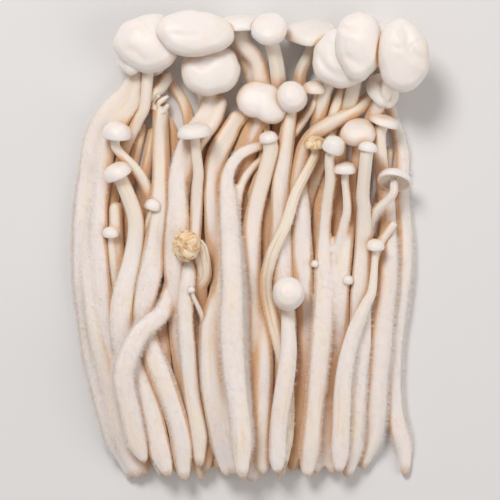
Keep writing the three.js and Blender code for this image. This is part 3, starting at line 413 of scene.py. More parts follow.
class Mushroom:
    def __init__(self, number, node, girth, route, clump=None, cap=None, dry=False):
        self.number = number
        self.node = node
        self.clump = clump or node
        self.girth = girth
        self.dry = dry
        self.cap = Cap(**cap) if cap else None
        stations = [list(p) for p in route]
        if self.cap:
            stations.append(list(self.cap.base_plan))
        plan = spaced_points(stations, SAMPLE_STEP)
        self.home = plan
        self.heap = np.column_stack([plan, np.zeros(len(plan))])
        self.radii = radius_at(np.linspace(0, 1, len(plan)), girth)


class Heap:
    """Balls already in the pile, with the clump and the mushroom that each belongs to."""

    def __init__(self):
        self.rows = np.zeros((0, 6))

    def add(self, mushroom, places, radii):
        marks = np.tile([CLUMPS.index(mushroom.clump), mushroom.number], (len(places), 1))
        self.rows = np.vstack([self.rows, np.column_stack([places, radii, marks])])

    def rest_heights(self, mushroom, plan, radii, rows=None):
        rows = self.rows if rows is None else rows
        heights = radii - FLAT_DEPTH
        if not len(rows):
            return heights
        x, y, z, r, clump, _ = rows.T
        total = radii[:, None] + r
        together = clump == CLUMPS.index(mushroom.clump)
        reach = np.where(together, total * GROWN_TOGETHER, total + CLEARANCE)
        apart = (plan[:, :1] - x) ** 2 + (plan[:, 1:2] - y) ** 2
        room = reach**2 - apart
        top = np.where(room > 0, z + np.sqrt(np.maximum(room, 0)), -np.inf)
        return np.maximum(heights, top.max(axis=1))


def blurred(rows):
    ends = np.concatenate([rows[:1], rows, rows[-1:]])
    return (ends[:-2] + 2 * rows + ends[2:]) / 4


def draped(clear):
    """A stalk laid over obstacles: a springy line that stays above every height it has to clear."""
    ends = np.concatenate([clear[:1], clear, clear[-1:]])
    widest = np.maximum(np.maximum(ends[:-2], clear), ends[2:])
    line = widest
    for _ in range(DRAPING_ROUNDS):
        line = np.maximum(blurred(line), widest)
    return line


def pairs_near(places, radii, owners, clumps):
    first, second = [], []
    for i in range(len(places)):
        total = radii[i] + radii[i + 1:]
        reach = np.where(clumps[i + 1:] == clumps[i], total * GROWN_TOGETHER, total + CLEARANCE)
        far = (reach + PAIR_MARGIN)[:, None]
        near = (np.abs(places[i + 1:] - places[i]) < far).all(axis=1) & (owners[i + 1:] != owners[i])
        found = np.nonzero(near)[0] + i + 1
        first.append(np.full(len(found), i))
        second.append(found)
    a, b = np.concatenate(first), np.concatenate(second)
    total = radii[a] + radii[b]
    return a, b, np.where(clumps[a] == clumps[b], total * GROWN_TOGETHER, total + CLEARANCE)


def press_together(mushrooms):
    """The loose heap sinks: stalks slip sideways past one another until they lie close."""
    places = np.vstack([m.heap for m in mushrooms])
    homes = np.vstack([m.home for m in mushrooms])
    radii = np.concatenate([m.radii for m in mushrooms])
    owners = np.concatenate([np.full(len(m.heap), m.number) for m in mushrooms])
    clumps = np.concatenate([np.full(len(m.heap), CLUMPS.index(m.clump)) for m in mushrooms])
    starts = np.cumsum([0] + [len(m.heap) for m in mushrooms])
    floor = radii - FLAT_DEPTH
    for step in range(PRESSING_ROUNDS):
        if step % PAIRS_EVERY == 0:
            a, b, reach = pairs_near(places, radii, owners, clumps)
        sinking = SINK_STEP if step < PRESSING_ROUNDS * SINKING_SHARE else 0
        move = np.column_stack([(homes - places[:, :2]) * HOME_PULL, np.full(len(places), -sinking)])
        gap = places[a] - places[b]
        distance = np.linalg.norm(gap, axis=1)
        touching = (distance < reach) & (distance > TINY)
        push = gap[touching] * (PUSH_APART * (reach - distance) / np.maximum(distance, TINY))[touching, None]
        np.add.at(move, a[touching], push)
        np.add.at(move, b[touching], -push)
        places += move
        places[:, 2] = np.maximum(places[:, 2], floor)
        for start, end in zip(starts, starts[1:]):
            part = places[start:end]
            part[:, :2] = homes[start:end] + blurred(blurred(part[:, :2] - homes[start:end]))
            part[:, 2] = blurred(blurred(part[:, 2]))
    for m, start, end in zip(mushrooms, starts, starts[1:]):
        m.heap = places[start:end].copy()


def seat_cap(mushroom, heap, rows):
    """Sets the cap on the pile and lifts the upper part of the stalk to it."""
    cap = mushroom.cap
    balls = cap.balls()
    end = mushroom.heap[-1, 2]
    neck = max(0, cap.axis[2]) * cap.neck_length / PRESSED
    rests = heap.rest_heights(mushroom, balls[:, :2], balls[:, 3], rows)
    height = max(end + neck, (rests - balls[:, 2]).max())
    rise = max(0, height - neck - end)
    back = (np.arange(len(mushroom.heap)) + 1 - len(mushroom.heap)) * SAMPLE_STEP
    mushroom.heap[:, 2] += rise * smooth((back + RISE_LENGTH) / RISE_LENGTH)
    cap.base = np.array([*cap.base_plan, height * PRESSED])
    balls[:, 2] += height
    heap.add(mushroom, balls[:, :3], balls[:, 3])


def pile_up(mushrooms):
    heap = Heap()
    for m in mushrooms:
        m.heap[:, 2] = draped(heap.rest_heights(m, m.home, m.radii))
        heap.add(m, m.heap, m.radii)
    press_together(mushrooms)
    heap = Heap()
    for m in mushrooms:
        if m.cap and not m.cap.last:
            seat_cap(m, heap, heap.rows)
        heap.add(m, m.heap, m.radii)
    for m in sorted((m for m in mushrooms if m.cap and m.cap.last), key=lambda m: m.cap.last):
        # the stalk that a cap belongs to was in the heap before it was lifted
        rows = heap.rows[heap.rows[:, 5] != m.number]
        before = len(heap.rows)
        seat_cap(m, heap, rows)
        own = np.nonzero(heap.rows[:before, 5] == m.number)[0]
        heap.rows[own, 2] = m.heap[:, 2]


# Making the pieces

def select_only(*objects):
    bpy.ops.object.select_all(action="DESELECT")
    for o in objects:
        o.select_set(True)
    bpy.context.view_layer.objects.active = objects[0]


def vertices_of(piece):
    flat = np.empty(len(piece.data.vertices) * 3)
    piece.data.vertices.foreach_get("co", flat)
    return flat.reshape(-1, 3)


def set_vertices(piece, places):
    piece.data.vertices.foreach_set("co", places.reshape(-1))
    piece.data.update()


def apply_modifier(piece, kind, **settings):
    select_only(piece)
    modifier = piece.modifiers.new(kind.lower(), kind)
    for name, value in settings.items():
        setattr(modifier, name, value)
    bpy.ops.object.modifier_apply(modifier=modifier.name)


def in_frame(places):
    """Layout millimetres to the frame's metres."""
    return (places - [*LAYOUT_CENTRE, 0]) * MM


def spine_stations(m):
    points = m.heap * [1, 1, PRESSED]
    if not m.cap:
        keep = [i for i in range(len(points)) if i % SPINE_THINNING == 0 or i == len(points) - 1]
        return points[keep]
    cap = m.cap
    neck = cap.base - cap.neck_axis * cap.neck_length
    keep = [i for i in range(0, len(points) - 4, SPINE_THINNING)
            if np.linalg.norm(points[i] - neck) > NECK_CLEAR]
    tip = cap.base + cap.axis * cap.height * STALK_IN_CAP
    return np.vstack([points[keep], neck, cap.base, tip])


class Spine:
    """The line down the middle of a stalk, finely divided."""

    def __init__(self, m):
        self.places = spaced_points(spine_stations(m), RING_STEP)
        count = len(self.places)
        self.shares = np.linspace(0, 1, count)
        self.along = np.arange(count) * RING_STEP
        self.ahead = np.gradient(self.places, axis=0)
        self.ahead /= np.linalg.norm(self.ahead, axis=1, keepdims=True)
        self.radii = radius_at(self.shares, m.girth)
        self.flat = PRESSED + (1 - PRESSED) * smooth((self.shares - ROUND_FROM) / ROUND_OVER)


# Caps that sit askew on their stalks: the way that the dome points
CAP_TURNS = {"gilled_cap": (0.12, 0.86, -0.45), "dried_cap": (-0.62, 0.15, 0.77)}


def turn_caps(mushrooms):
    for m in mushrooms:
        if m.node in CAP_TURNS:
            faces = np.array(CAP_TURNS[m.node])
            m.cap.axis = faces / np.linalg.norm(faces)


# How blunt the ends of a stalk are: the girth at the very end, as a share of the full one
FOOT_GIRTH = 0.25
TIP_GIRTH = 0.2
FOOT_ROUNDING = 2.2  # length of the rounded foot, as a share of its radius


def rounded_ends(spine, m):
    """Share of its girth that a stalk has near its ends: a blunt root, and a round tip without a cap."""
    root = np.clip(spine.along / (m.girth[0] * FOOT_ROUNDING), 0, 1)
    share = FOOT_GIRTH + (1 - FOOT_GIRTH) * np.sqrt(1 - (1 - root) ** 2)
    if not m.cap and m.node not in CUT_ENDS:
        tip = np.clip((spine.along[-1] - spine.along) / m.girth[2], 0, 1)
        share *= TIP_GIRTH + (1 - TIP_GIRTH) * np.sqrt(1 - (1 - tip) ** 2)
    return share


NOISE_SHIFTS = (7.3, 3.1)  # move each mushroom to its own place in the noise
NOISE_REACH = 1.6


def uneven(places, size, seed):
    """A slow, smooth wander between about -1 and 1 over places that are a few sizes apart."""
    shift = Vector((seed * NOISE_SHIFTS[0], seed * NOISE_SHIFTS[1], 0))
    return np.array([noise.noise(Vector(p) / size + shift) for p in places]) * NOISE_REACH


SWELL = (0.06, 14)  # how far a stalk's girth wanders, and over what length
# The long ridges of a stalk: how many round it, how fast they change along it and how deep they are
STALK_RIDGES = ((1.3, 0.03, 0.1), (3.0, 0.045, 0.04), (6.0, 0.1, 0.018))


def stalk_tube(m):
    spine = m.spine
    ends = rounded_ends(spine, m)
    depth, run = SWELL
    swell = 1 + depth * uneven(spine.places, run, m.number)
    piece = thin_tube(m.node, spine.places, spine.radii * ends * swell, STALK_SIDES // 2 - 2)
    shape_tube(piece, m)
    close_ends(piece)
    return piece


def close_ends(piece):
    select_only(piece)
    bpy.ops.object.mode_set(mode="EDIT")
    bpy.ops.mesh.select_all(action="SELECT")
    bpy.ops.mesh.fill_holes(sides=0)
    bpy.ops.mesh.select_all(action="SELECT")
    bpy.ops.mesh.normals_make_consistent(inside=False)
    bpy.ops.object.mode_set(mode="OBJECT")


def shape_tube(piece, m):
    """Presses the round tube flat and gives it the long, soft ridges of a stalk."""
    spine = m.spine
    places = vertices_of(piece)
    rings = places.reshape(len(spine.places), -1, 3)
    middles = in_frame(spine.places)[:, None]
    out = rings - middles
    turn = np.tile(np.linspace(0, 2 * math.pi, rings.shape[1], endpoint=False), (len(rings), 1))
    along = np.repeat(spine.along[:, None], rings.shape[1], axis=1)
    ridges = np.zeros(turn.shape)
    for count, run, depth in STALK_RIDGES:
        spots = np.stack([count * np.cos(turn), count * np.sin(turn), along * run], axis=2).reshape(-1, 3)
        ridges += depth * uneven(spots, 1, m.number).reshape(turn.shape)
    out = out * (1 + ridges[:, :, None])
    out[:, :, 2] *= spine.flat[:, None]
    set_vertices(piece, (middles + out).reshape(-1, 3))


# Half of a cap's outline, from the middle of its underside (0) over its rim to its top (1):
# how far along the outline, how far out and how high, as shares of the cap's size
CAP_OUTLINE = np.array([
    (0, 0, 0.12), (0.15, 0.36, 0.1), (0.3, 0.74, 0.0), (0.38, 0.9, -0.09), (0.44, 0.985, -0.06),
    (0.5, 1.0, 0.12), (0.58, 0.955, 0.4), (0.7, 0.79, 0.72), (0.85, 0.44, 0.93), (1, 0, 1),
])
OUTLINE_STEPS = np.linspace(0, 1, 400)
OUTLINE_BLURS = 60
GILLS_FROM = (0.06, 0.14)  # share of the outline where the gills begin and are full
GILLS_TO = (0.3, 0.36)
GILL_HEIGHT = 0.13


def cap_outline(t):
    """The outline with its corners rounded off."""
    along, across, up = CAP_OUTLINE.T
    across = np.interp(OUTLINE_STEPS, along, across)
    up = np.interp(OUTLINE_STEPS, along, up)
    for _ in range(OUTLINE_BLURS):
        across[1:-1] = blurred(across)[1:-1]
        up = blurred(up)
    return np.interp(t, OUTLINE_STEPS, across), np.interp(t, OUTLINE_STEPS, up)


def gill_count(cap):
    return CAP_SEGMENTS // 4 if cap.radius > LARGE_CAP else CAP_SEGMENTS // 6


# The shape of a dome. Depths and waves are shares of the cap's size, places are shares of the outline
RIM_WAVES = (0.035, 0.02)  # how far the rim wanders, twice and three times round
CROWN_FLATNESS = 0.07  # the large caps at the end of the bunch are flatter, wider and less even
CROWN_GROWTH = 1.03
CROWN_UNEVENNESS = (0.045, 0.55)  # how far, and over what length
PLEATS = ((7, 0.75, 7), (15, 0.35, 9))  # of a dried cap: how many, how deep, and how they turn to the top
PLEAT_DEPTHS = (0.09, 0.07)  # outwards and upwards
DOME_LUMPS = (0.05, 0.8)  # how high, and over what length
DOME_SEED = 50
DOME_FROM = (0.42, 0.62)
CREASES_FROM = (0.5, 0.62)
PLEATS_FROM = (0.4, 0.5)
PLEATS_TO = (0.8, 1)


def pleats(angle, t):
    """Folds of a cap that has dried: they run from the rim to the top in a swirl."""
    swirl = 2.2 * np.sin(angle * 2 + 1)
    (wide, deep, rise), (narrow, shallow, climb) = PLEATS
    coarse = deep * np.sin(angle * wide + swirl + rise * t)
    return coarse + shallow * np.sin(angle * narrow - swirl + climb * t)


def cap_dome(m):
    """A cap from a sphere: gills below, a rolled rim and a soft dome."""
    cap = m.cap
    large = cap.radius > LARGE_CAP
    segments = CAP_SEGMENTS if large else CAP_SEGMENTS // 2
    rings = CAP_RINGS if large else CAP_RINGS * 3 // 4
    bpy.ops.object.select_all(action="DESELECT")
    bpy.ops.mesh.primitive_uv_sphere_add(segments=segments, ring_count=rings, radius=1)
    piece = bpy.context.object
    piece.name = m.node + "_cap"
    ball = vertices_of(piece)
    t = np.arccos(np.clip(-ball[:, 2], -1, 1)) / math.pi
    angle = np.arctan2(ball[:, 1], ball[:, 0])
    across, up = cap_outline(t)
    gills = ramp(t, *GILLS_FROM) * (1 - ramp(t, *GILLS_TO))
    up = up + gills * GILL_HEIGHT * np.cos(angle * gill_count(cap))
    twice, thrice = RIM_WAVES
    wave = 1 + twice * np.sin(2 * angle + cap.radius * 3) + thrice * np.sin(3 * angle + cap.height * 5)
    if cap.last:
        up = up - CROWN_FLATNESS * ramp(up, 0.4, 1)
        depth, run = CROWN_UNEVENNESS
        rim = np.column_stack([np.cos(angle), np.sin(angle), t * 0])
        wave = wave * CROWN_GROWTH + depth * uneven(rim, run, m.number)
    if m.dry:
        folded = pleats(angle, t)
        wave = wave * (1 + PLEAT_DEPTHS[0] * folded * smooth(t * 3))
        up = up + PLEAT_DEPTHS[1] * folded * ramp(t, *PLEATS_FROM) * (1 - ramp(t, *PLEATS_TO))
    if m.clump in LOBED_CAPS:
        wave = wave * LOBE_GROWTH
    x = across * np.cos(angle) * cap.radius * cap.wide[0] * wave
    y = across * np.sin(angle) * cap.radius * cap.wide[1] * wave
    local = np.column_stack([x, y, up * cap.height])
    height, run = DOME_LUMPS
    lumps = uneven(local, cap.radius * run, m.number + DOME_SEED) * ramp(t, *DOME_FROM)
    local[:, 2] += lumps * cap.height * height
    if m.node in CAP_FOLDS:
        local[:, 2] += folds(local, CAP_FOLDS[m.node]) * ramp(t, *CREASES_FROM)
    places = local @ turn_to(cap.axis) + cap.base
    set_vertices(piece, in_frame(places))
    return piece


# Creases in a cap: the points that each passes, in millimetres from the cap's middle, its depth and width
CAP_FOLDS = {
    "crown_stalk_right": ((((-1.7, 12.3), (0.5, 6.2), (1.5, 2.4), (3.7, -0.4), (8.8, -2.9)), 1.0, 1.5),
                          (((1.6, 2.2), (2.6, 3.8), (4.0, 4.7), (6.8, 5.2)), 0.35, 0.5),
                          (((4.4, -0.2), (3.6, 1.4), (3.7, 3.0), (4.6, 4.2)), 0.3, 0.45),
                          (((-4.5, 3.0), (-2.0, 2.4), (0.8, 2.9)), 0.3, 0.9),
                          (((-2.6, 9.0), (-1.8, 6.2), (-0.4, 4.4)), 0.25, 0.6)),
    "crown_stalk_middle_right": ((((-7.0, 6.5), (-3.5, 4.6), (0.5, 5.4)), 0.45, 1.1),
                                 (((-6.5, -4.0), (-2.5, -5.2), (1.5, -8.0)), 0.4, 1.2)),
    "banana_cap": ((((-8.5, 2.0), (-5.0, -3.5), (-0.5, -6.5)), 0.5, 1.1),),
    "left_clump_outer": ((((-3.0, 9.0), (-1.0, 4.5), (2.5, 2.5)), 0.35, 1.2),
                         (((-8.0, -3.0), (-4.0, -3.6), (-0.5, -7.0)), 0.3, 1.1)),
    "upper_oval_cap": ((((-9.0, -1.0), (-4.0, -2.8), (1.0, -2.2)), 0.35, 1.2),
                       (((3.0, 4.0), (5.0, 1.0), (9.0, 0.0)), 0.35, 1.1)),
    "forked_clump_main": ((((-6.5, 2.0), (-2.5, 0.5), (1.0, 2.5)), 0.35, 1.2),),
}


CREASE_POINTS = 50
CREASE_FADE = 0.6  # how soon a crease is at its full depth
SWELL_SHARE = 0.35  # height of the swell beside a crease, as a share of its depth
SWELL_WIDTH = 1.3


def folds(local, creases):
    """Soft creases along curved lines, with a swell on both sides."""
    height = np.zeros(len(local))
    for points, depth, width in creases:
        line = curve_points(points, np.linspace(0, 1, CREASE_POINTS))
        gap = np.linalg.norm(local[:, None, :2] - line[None], axis=2)
        nearest = gap.argmin(axis=1)
        fade = np.sin(math.pi * (nearest + 1) / (len(line) + 1)) ** CREASE_FADE
        off = gap.min(axis=1)
        height -= depth * fade * np.exp(-((off / width) ** 2))
        swell = np.exp(-(((off - 2 * width) / (SWELL_WIDTH * width)) ** 2))
        height += SWELL_SHARE * depth * fade * swell
    return height


# Torn ends: how many shreds, how long and how thick they are at the root
TORN_ENDS = {
    "torn_stalk": (5, 7.0, 1.35),
    "edge_on_stub": (6, 5.0, 1.2),
    "split_stalk": (4, 3.5, 0.6),
}
# Frayed skin: how many fibres, from where to where along the stalk, and how thick
FRAYED = {
    "rough_stalk": (9, 0.76, 0.95, 0.24),
    "split_stalk": (6, 0.45, 0.8, 0.2),
    "torn_stalk": (5, 0.8, 0.98, 0.25),
}
CUT_ENDS = ("cut_stub",)


def thin_tube(name, line, radii, resolution=3):
    """A closed round strip along a line, with a radius at each point."""
    curve = bpy.data.curves.new(name, "CURVE")
    curve.dimensions = "3D"
    curve.bevel_depth = 1
    curve.bevel_resolution = resolution
    strip = curve.splines.new("POLY")
    strip.points.add(len(line) - 1)
    strip.points.foreach_set("co", np.column_stack([in_frame(line), np.ones(len(line))]).ravel())
    strip.points.foreach_set("radius", radii * MM)
    piece = bpy.data.objects.new(name, curve)
    bpy.context.scene.collection.objects.link(piece)
    select_only(piece)
    bpy.ops.object.convert(target="MESH")
    return piece


def round_the_spine(spine, ring, turn):
    """A direction out of the stalk at a ring, turned round it."""
    side = np.cross(spine.ahead[ring], [0, 0, 1])
    side /= np.linalg.norm(side)
    return math.cos(turn) * side + math.sin(turn) * np.cross(side, spine.ahead[ring])


SHRED_TURN = 2.4  # from one shred to the next, radians
SHRED_POINTS = 14
SHRED_SPREAD = 0.4  # how far a shred leans out and curls, as shares of its length
SHRED_CURL = 0.45
SHRED_ROOT = 0.2
SHRED_CURL_TURN = 1.3  # from the way that a shred leans to the way that it curls, radians
SHRED_CURL_RATE = 4
SHRED_LENGTHS = (0.55, 0.45)  # the shortest, and how much longer others are, as shares
SHRED_PLACE = 0.45  # how far out of the stalk's middle a shred starts, in stalk radii
SHRED_REACH = 0.9
SHRED_TAPER = 0.55
SHRED_LUMPS = (0.3, 9)  # how deep, and how close together


def shreds(m):
    """Curled strips of flesh round a torn end."""
    count, length, girth = TORN_ENDS[m.node]
    spine = m.spine
    root = len(spine.places) - 3
    pieces = []
    for i in range(count):
        turn = i * SHRED_TURN + m.number
        out = round_the_spine(spine, root, turn)
        curl = round_the_spine(spine, root, turn + SHRED_CURL_TURN)
        run = length * (SHRED_LENGTHS[0] + SHRED_LENGTHS[1] * math.sin(i * 5.1) ** 2)
        steps = np.linspace(0, 1, SHRED_POINTS)[:, None]
        start = spine.places[root] + out * spine.radii[root] * SHRED_PLACE
        onward = spine.ahead[root] * run * (steps * SHRED_REACH - SHRED_ROOT)
        outward = out * run * SHRED_SPREAD * steps**2
        curled = curl * run * SHRED_CURL * np.sin(steps * SHRED_CURL_RATE) * steps
        line = start + onward + outward + curled
        depth, rate = SHRED_LUMPS
        lumps = 1 + depth * np.sin(steps[:, 0] * rate + i)
        taper = girth * (1 - SHRED_TAPER * steps[:, 0]) * lumps
        piece = thin_tube("shred", line, taper)
        close_ends(piece)
        pieces.append(piece)
    return pieces


FIBRE_LENGTH = 0.5  # of the frayed stretch
FIBRE_SCATTER = 0.37
FIBRE_TURNS = (-2.6, 2.0)  # where the first lies round the stalk, and how far round they spread
FIBRE_WANDER = (0.25, 5)
FIBRE_LIFT = (0.12, 0.5)  # millimetres over the skin at its middle, and how much more at its ends
FIBRE_TAPER = (0.35, 0.65)


def fibres(m):
    """Loose fibres that lie along the stalk and lift from it a little."""
    count, low, high, girth = FRAYED[m.node]
    spine = m.spine
    pieces = []
    for i in range(count):
        run = (high - low) * FIBRE_LENGTH
        start = low + run * (i * FIBRE_SCATTER % 1)
        rings = np.nonzero((spine.shares > start) & (spine.shares < start + run))[0]
        steps = np.linspace(0, 1, len(rings))
        line = []
        for ring, step in zip(rings, steps):
            wander = FIBRE_WANDER[0] * math.sin(step * FIBRE_WANDER[1] + i)
            out = round_the_spine(spine, ring, FIBRE_TURNS[0] + i * FIBRE_TURNS[1] / count + wander)
            lift = FIBRE_LIFT[0] + FIBRE_LIFT[1] * abs(step - 0.5) ** 2
            reach = out * (spine.radii[ring] + lift)
            line.append(spine.places[ring] + reach * [1, 1, spine.flat[ring]])
        taper = girth * (FIBRE_TAPER[0] + FIBRE_TAPER[1] * np.sin(math.pi * np.clip(steps, 0.02, 0.98)))
        piece = thin_tube("fibre", np.array(line), taper, 2)
        close_ends(piece)
        pieces.append(piece)
    return pieces


def joined(piece, others):
    """One closed piece from several that grow into one another."""
    for other in others:
        apply_modifier(piece, "BOOLEAN", object=other, operation="UNION", solver="MANIFOLD")
        bpy.data.objects.remove(other)
    return piece


def grown_stalks(members):
    """Stalks of one clump, melted together where they meet."""
    tubes = [stalk_tube(m) for m in members]
    select_only(*tubes)
    if len(tubes) > 1:
        bpy.ops.object.join()
        piece = bpy.context.object
        apply_modifier(piece, "REMESH", mode="VOXEL", voxel_size=CLUMP_VOXEL * MM)
        apply_modifier(piece, "SMOOTH", factor=0.6, iterations=CLUMP_SMOOTHING)
        return piece
    return tubes[0]


# Flesh between the lobes of one cap
LOBE_FILLS = {"heart_cap": {"at": (6.0, 52.9), "radius": 5.0, "height": 4.4, "faces": (0.15, 0.25, 0.95)}}


def lobe_fills(clump, members):
    if clump not in LOBE_FILLS:
        return []
    filler = copy.copy(members[0])
    filler.cap = Cap(**LOBE_FILLS[clump])
    height = np.mean([m.cap.base[2] for m in members if m.cap])
    filler.cap.base = np.array([*filler.cap.base_plan, height])
    return [filler]


def melt_caps(piece):
    """The lobes of one cap run into each other."""
    apply_modifier(piece, "REMESH", mode="VOXEL", voxel_size=LOBE_VOXEL * MM)
    apply_modifier(piece, "SMOOTH", factor=0.6, iterations=LOBE_SMOOTHING)


def own_samples(members):
    """Middle, direction, radius, flatness, distance along, share and number for every ring of the stalks."""
    rows = [np.column_stack([m.spine.places, m.spine.ahead, m.spine.radii, m.spine.flat, m.spine.along,
                             m.spine.shares, np.full(len(m.spine.places), m.number)]) for m in members]
    return np.vstack(rows)


def nearest_ring(places, rings):
    """For each place, the gap to the nearest stalk's skin and that stalk's ring."""
    gaps = np.empty(len(places))
    which = np.empty(len(places), int)
    for start in range(0, len(places), BATCH):
        part = places[start:start + BATCH]
        apart = part[:, None] - rings[None, :, :3]
        apart[:, :, 2] /= rings[:, 7]
        gap = np.sqrt((apart**2).sum(axis=2)) - rings[:, 6]
        best = gap.argmin(axis=1)
        which[start:start + BATCH] = best
        gaps[start:start + BATCH] = gap[np.arange(len(part)), best]
    return gaps, which


def near_rings(places, rings):
    low, high = places.min(axis=0) - NEIGHBOUR_REACH, places.max(axis=0) + NEIGHBOUR_REACH
    inside = ((rings[:, :3] > low) & (rings[:, :3] < high)).all(axis=1)
    return rings[inside]


def occluders(members, mushrooms):
    """Lengths of stalk and whole caps that can shade a piece: place, least distance and area."""
    own = {m.number for m in members} if len(members) == 1 else set()
    rows = []
    for m in mushrooms:
        if m.number in own:
            continue
        places, radii = m.spine.places[::SHADE_STEP], m.spine.radii[::SHADE_STEP]
        rows.append(np.column_stack([places, radii, 2 * radii * SHADE_STEP * RING_STEP]))
        if m.cap:
            middle = m.cap.base + m.cap.axis * m.cap.height * 0.5
            rows.append(np.array([[*middle, m.cap.radius * 0.8, math.pi * (m.cap.radius * 0.8) ** 2]]))
    return np.vstack(rows)


def hollowness(places, normals, rows):
    """How much of what a place faces is filled by its neighbours, from 0 in the open."""
    low, high = places.min(axis=0) - SHADE_REACH, places.max(axis=0) + SHADE_REACH
    rows = rows[((rows[:, :3] > low) & (rows[:, :3] < high)).all(axis=1)]
    filled = np.zeros(len(places))
    for start in range(0, len(places), BATCH):
        part = slice(start, start + BATCH)
        gap = rows[None, :, :3] - places[part, None]
        square = (gap**2).sum(axis=2)
        facing = np.einsum("ijk,ik->ij", gap, normals[part]) / np.sqrt(square + 1e-9)
        least = np.maximum(square, rows[:, 3] ** 2)
        share = rows[:, 4] * np.maximum(facing, 0) / (math.pi * least)
        filled[part] = np.where(square < SHADE_REACH**2, share, 0).sum(axis=1)
    return np.clip(filled, 0, 1)


def press_caps(places, on_cap, members, mushrooms):
    """Caps that touch flatten each other where they meet."""
    numbers = [m.number for m in members]
    mine = on_cap > 0.5
    nearness = np.zeros(len(places))
    for m in mushrooms:
        if not m.cap or m.number in numbers or not mine.any():
            continue
        cap = m.cap
        local = (places[mine] - cap.base) @ turn_to(cap.axis).T
        size = np.array([cap.radius * cap.wide[0], cap.radius * cap.wide[1], cap.height * PRESSING_BODY[1]])
        from_middle = local - [0, 0, cap.height * PRESSING_BODY[0]]
        depth = np.linalg.norm(from_middle / size, axis=1)
        pushed = np.clip(PRESS_REACH - depth, 0, DEEPEST_PRESS)[:, None] * from_middle * PRESS_SHARE
        places[mine] += pushed @ turn_to(cap.axis)
        gap = np.maximum(depth - PRESS_REACH, 0) * cap.radius
        nearness[mine] = np.maximum(nearness[mine], np.exp(-gap / CONTACT_WIDTH))
    return places, nearness


def normals_of(piece):
    flat = np.empty(len(piece.data.vertices) * 3)
    piece.data.vertices.foreach_get("normal", flat)
    return flat.reshape(-1, 3)


def finish_piece(piece, members, fills, every_ring):
    """Presses the piece against its neighbours and writes what the flesh shows: grain, crevice lines (honey
    colour with painted shade), feet.
    """
    places = vertices_of(piece) / MM + [*LAYOUT_CENTRE, 0]
    own = own_samples(members)
    numbers = [m.number for m in members]
    others = near_rings(places, every_ring[~np.isin(every_ring[:, 10], numbers)])
    on_cap, gills = np.zeros(len(places)), np.zeros(len(places))
    for m in members + fills:
        if m.cap:
            local = (places - m.cap.base) @ turn_to(m.cap.axis).T
            across = np.hypot(local[:, 0] / m.cap.wide[0], local[:, 1] / m.cap.wide[1])
            height = local[:, 2] / m.cap.height
            low, high = CAP_HEIGHTS
            inside = (height > low) & (height < high) & (across < m.cap.radius * CAP_EDGE)
            neck = (across < m.girth[2] * NECK_EDGE) & (height < NECK_HEIGHT)
            on_cap[inside & ~neck] = 1
            under = inside & ~neck & (height < UNDERSIDE_HEIGHT)
            under &= across < m.cap.radius * UNDERSIDE_EDGE
            spoke = np.arctan2(local[:, 1], local[:, 0]) * gill_count(m.cap)
            gills[under] = GILL_TONES[0] + GILL_TONES[1] * np.cos(spoke[under])
            # on a dried cap's top the same tan tint is laid in the grooves between the pleats, darker in the
            # grooves
            if m.dry:
                top = inside & ~neck & ~under
                angle, t = np.arctan2(local[top, 1], local[top, 0]), 1 - 0.5 * across[top] / m.cap.radius
                gills[top] = smooth(-pleats(angle, t))
    places, nearness = press_caps(places, on_cap, members, mushrooms)
    crevice_tint_and_shade = np.zeros(len(places))
    if len(others):
        gap, which = nearest_ring(places, others)
        squeezed = (gap < SKIN_GAP) & (on_cap < 0.5)
        away = places - others[which, :3]
        away /= np.linalg.norm(away, axis=1, keepdims=True) + 1e-9
        places = places + away * (np.clip(SKIN_GAP - gap, 0, DEEPEST_DENT) * 0.5 * squeezed)[:, None]
        # nearness to a neighbour's skin, which the flesh tints honey, with painted shade in the crevice
        crevice_tint_and_shade = np.exp(-np.maximum(gap, 0) / CREVICE_TINT_AND_SHADE_WIDTH)
    places[:, 2] = np.maximum(places[:, 2], 0)
    set_vertices(piece, in_frame(places))
    hollow = hollowness(places, normals_of(piece), occluders(members, mushrooms))
    _, ring = nearest_ring(places, own)
    if len(members) > 1:
        for m in members:
            mine = own[ring, 10] == m.number
            rest = own[own[:, 10] != m.number]
            other_gap, _ = nearest_ring(places[mine], rest)
            seam = SEAM_TINT_AND_SHADE * np.exp(-np.maximum(other_gap, 0) / SEAM_WIDTH)
            crevice_tint_and_shade[mine] = np.maximum(crevice_tint_and_shade[mine], seam)
    crevice_tint_and_shade = np.maximum(crevice_tint_and_shade, nearness)
    ahead = own[ring, 3:6]
    side = np.cross(ahead, [0, 0, 1])
    side /= np.linalg.norm(side, axis=1, keepdims=True) + 1e-9
    over = np.cross(side, ahead)
    out = places - own[ring, :3]
    along = own[ring, 8] + GRAIN_SHIFT * own[ring, 10]
    grain = np.column_stack([(out * side).sum(axis=1), (out * over).sum(axis=1), along])
    write_attribute(piece, "grain", "FLOAT_VECTOR", grain)
    write_attribute(piece, "crevice_tint_and_shade", "FLOAT", crevice_tint_and_shade)
    write_attribute(piece, "share", "FLOAT", own[ring, 9])
    write_attribute(piece, "on_cap", "FLOAT", on_cap)
    write_attribute(piece, "gills", "FLOAT", gills)
    write_attribute(piece, "hollow", "FLOAT", hollow)
    write_attribute(piece, "slim", "FLOAT", smooth((SLIM_FROM - own[ring, 6]) / SLIM_OVER))
    cap_faces(piece, on_cap)


def write_attribute(piece, name, kind, values):
    attribute = piece.data.attributes.new(name, kind, "POINT")
    field = "vector" if kind == "FLOAT_VECTOR" else "value"
    attribute.data.foreach_set(field, np.ascontiguousarray(values).ravel())


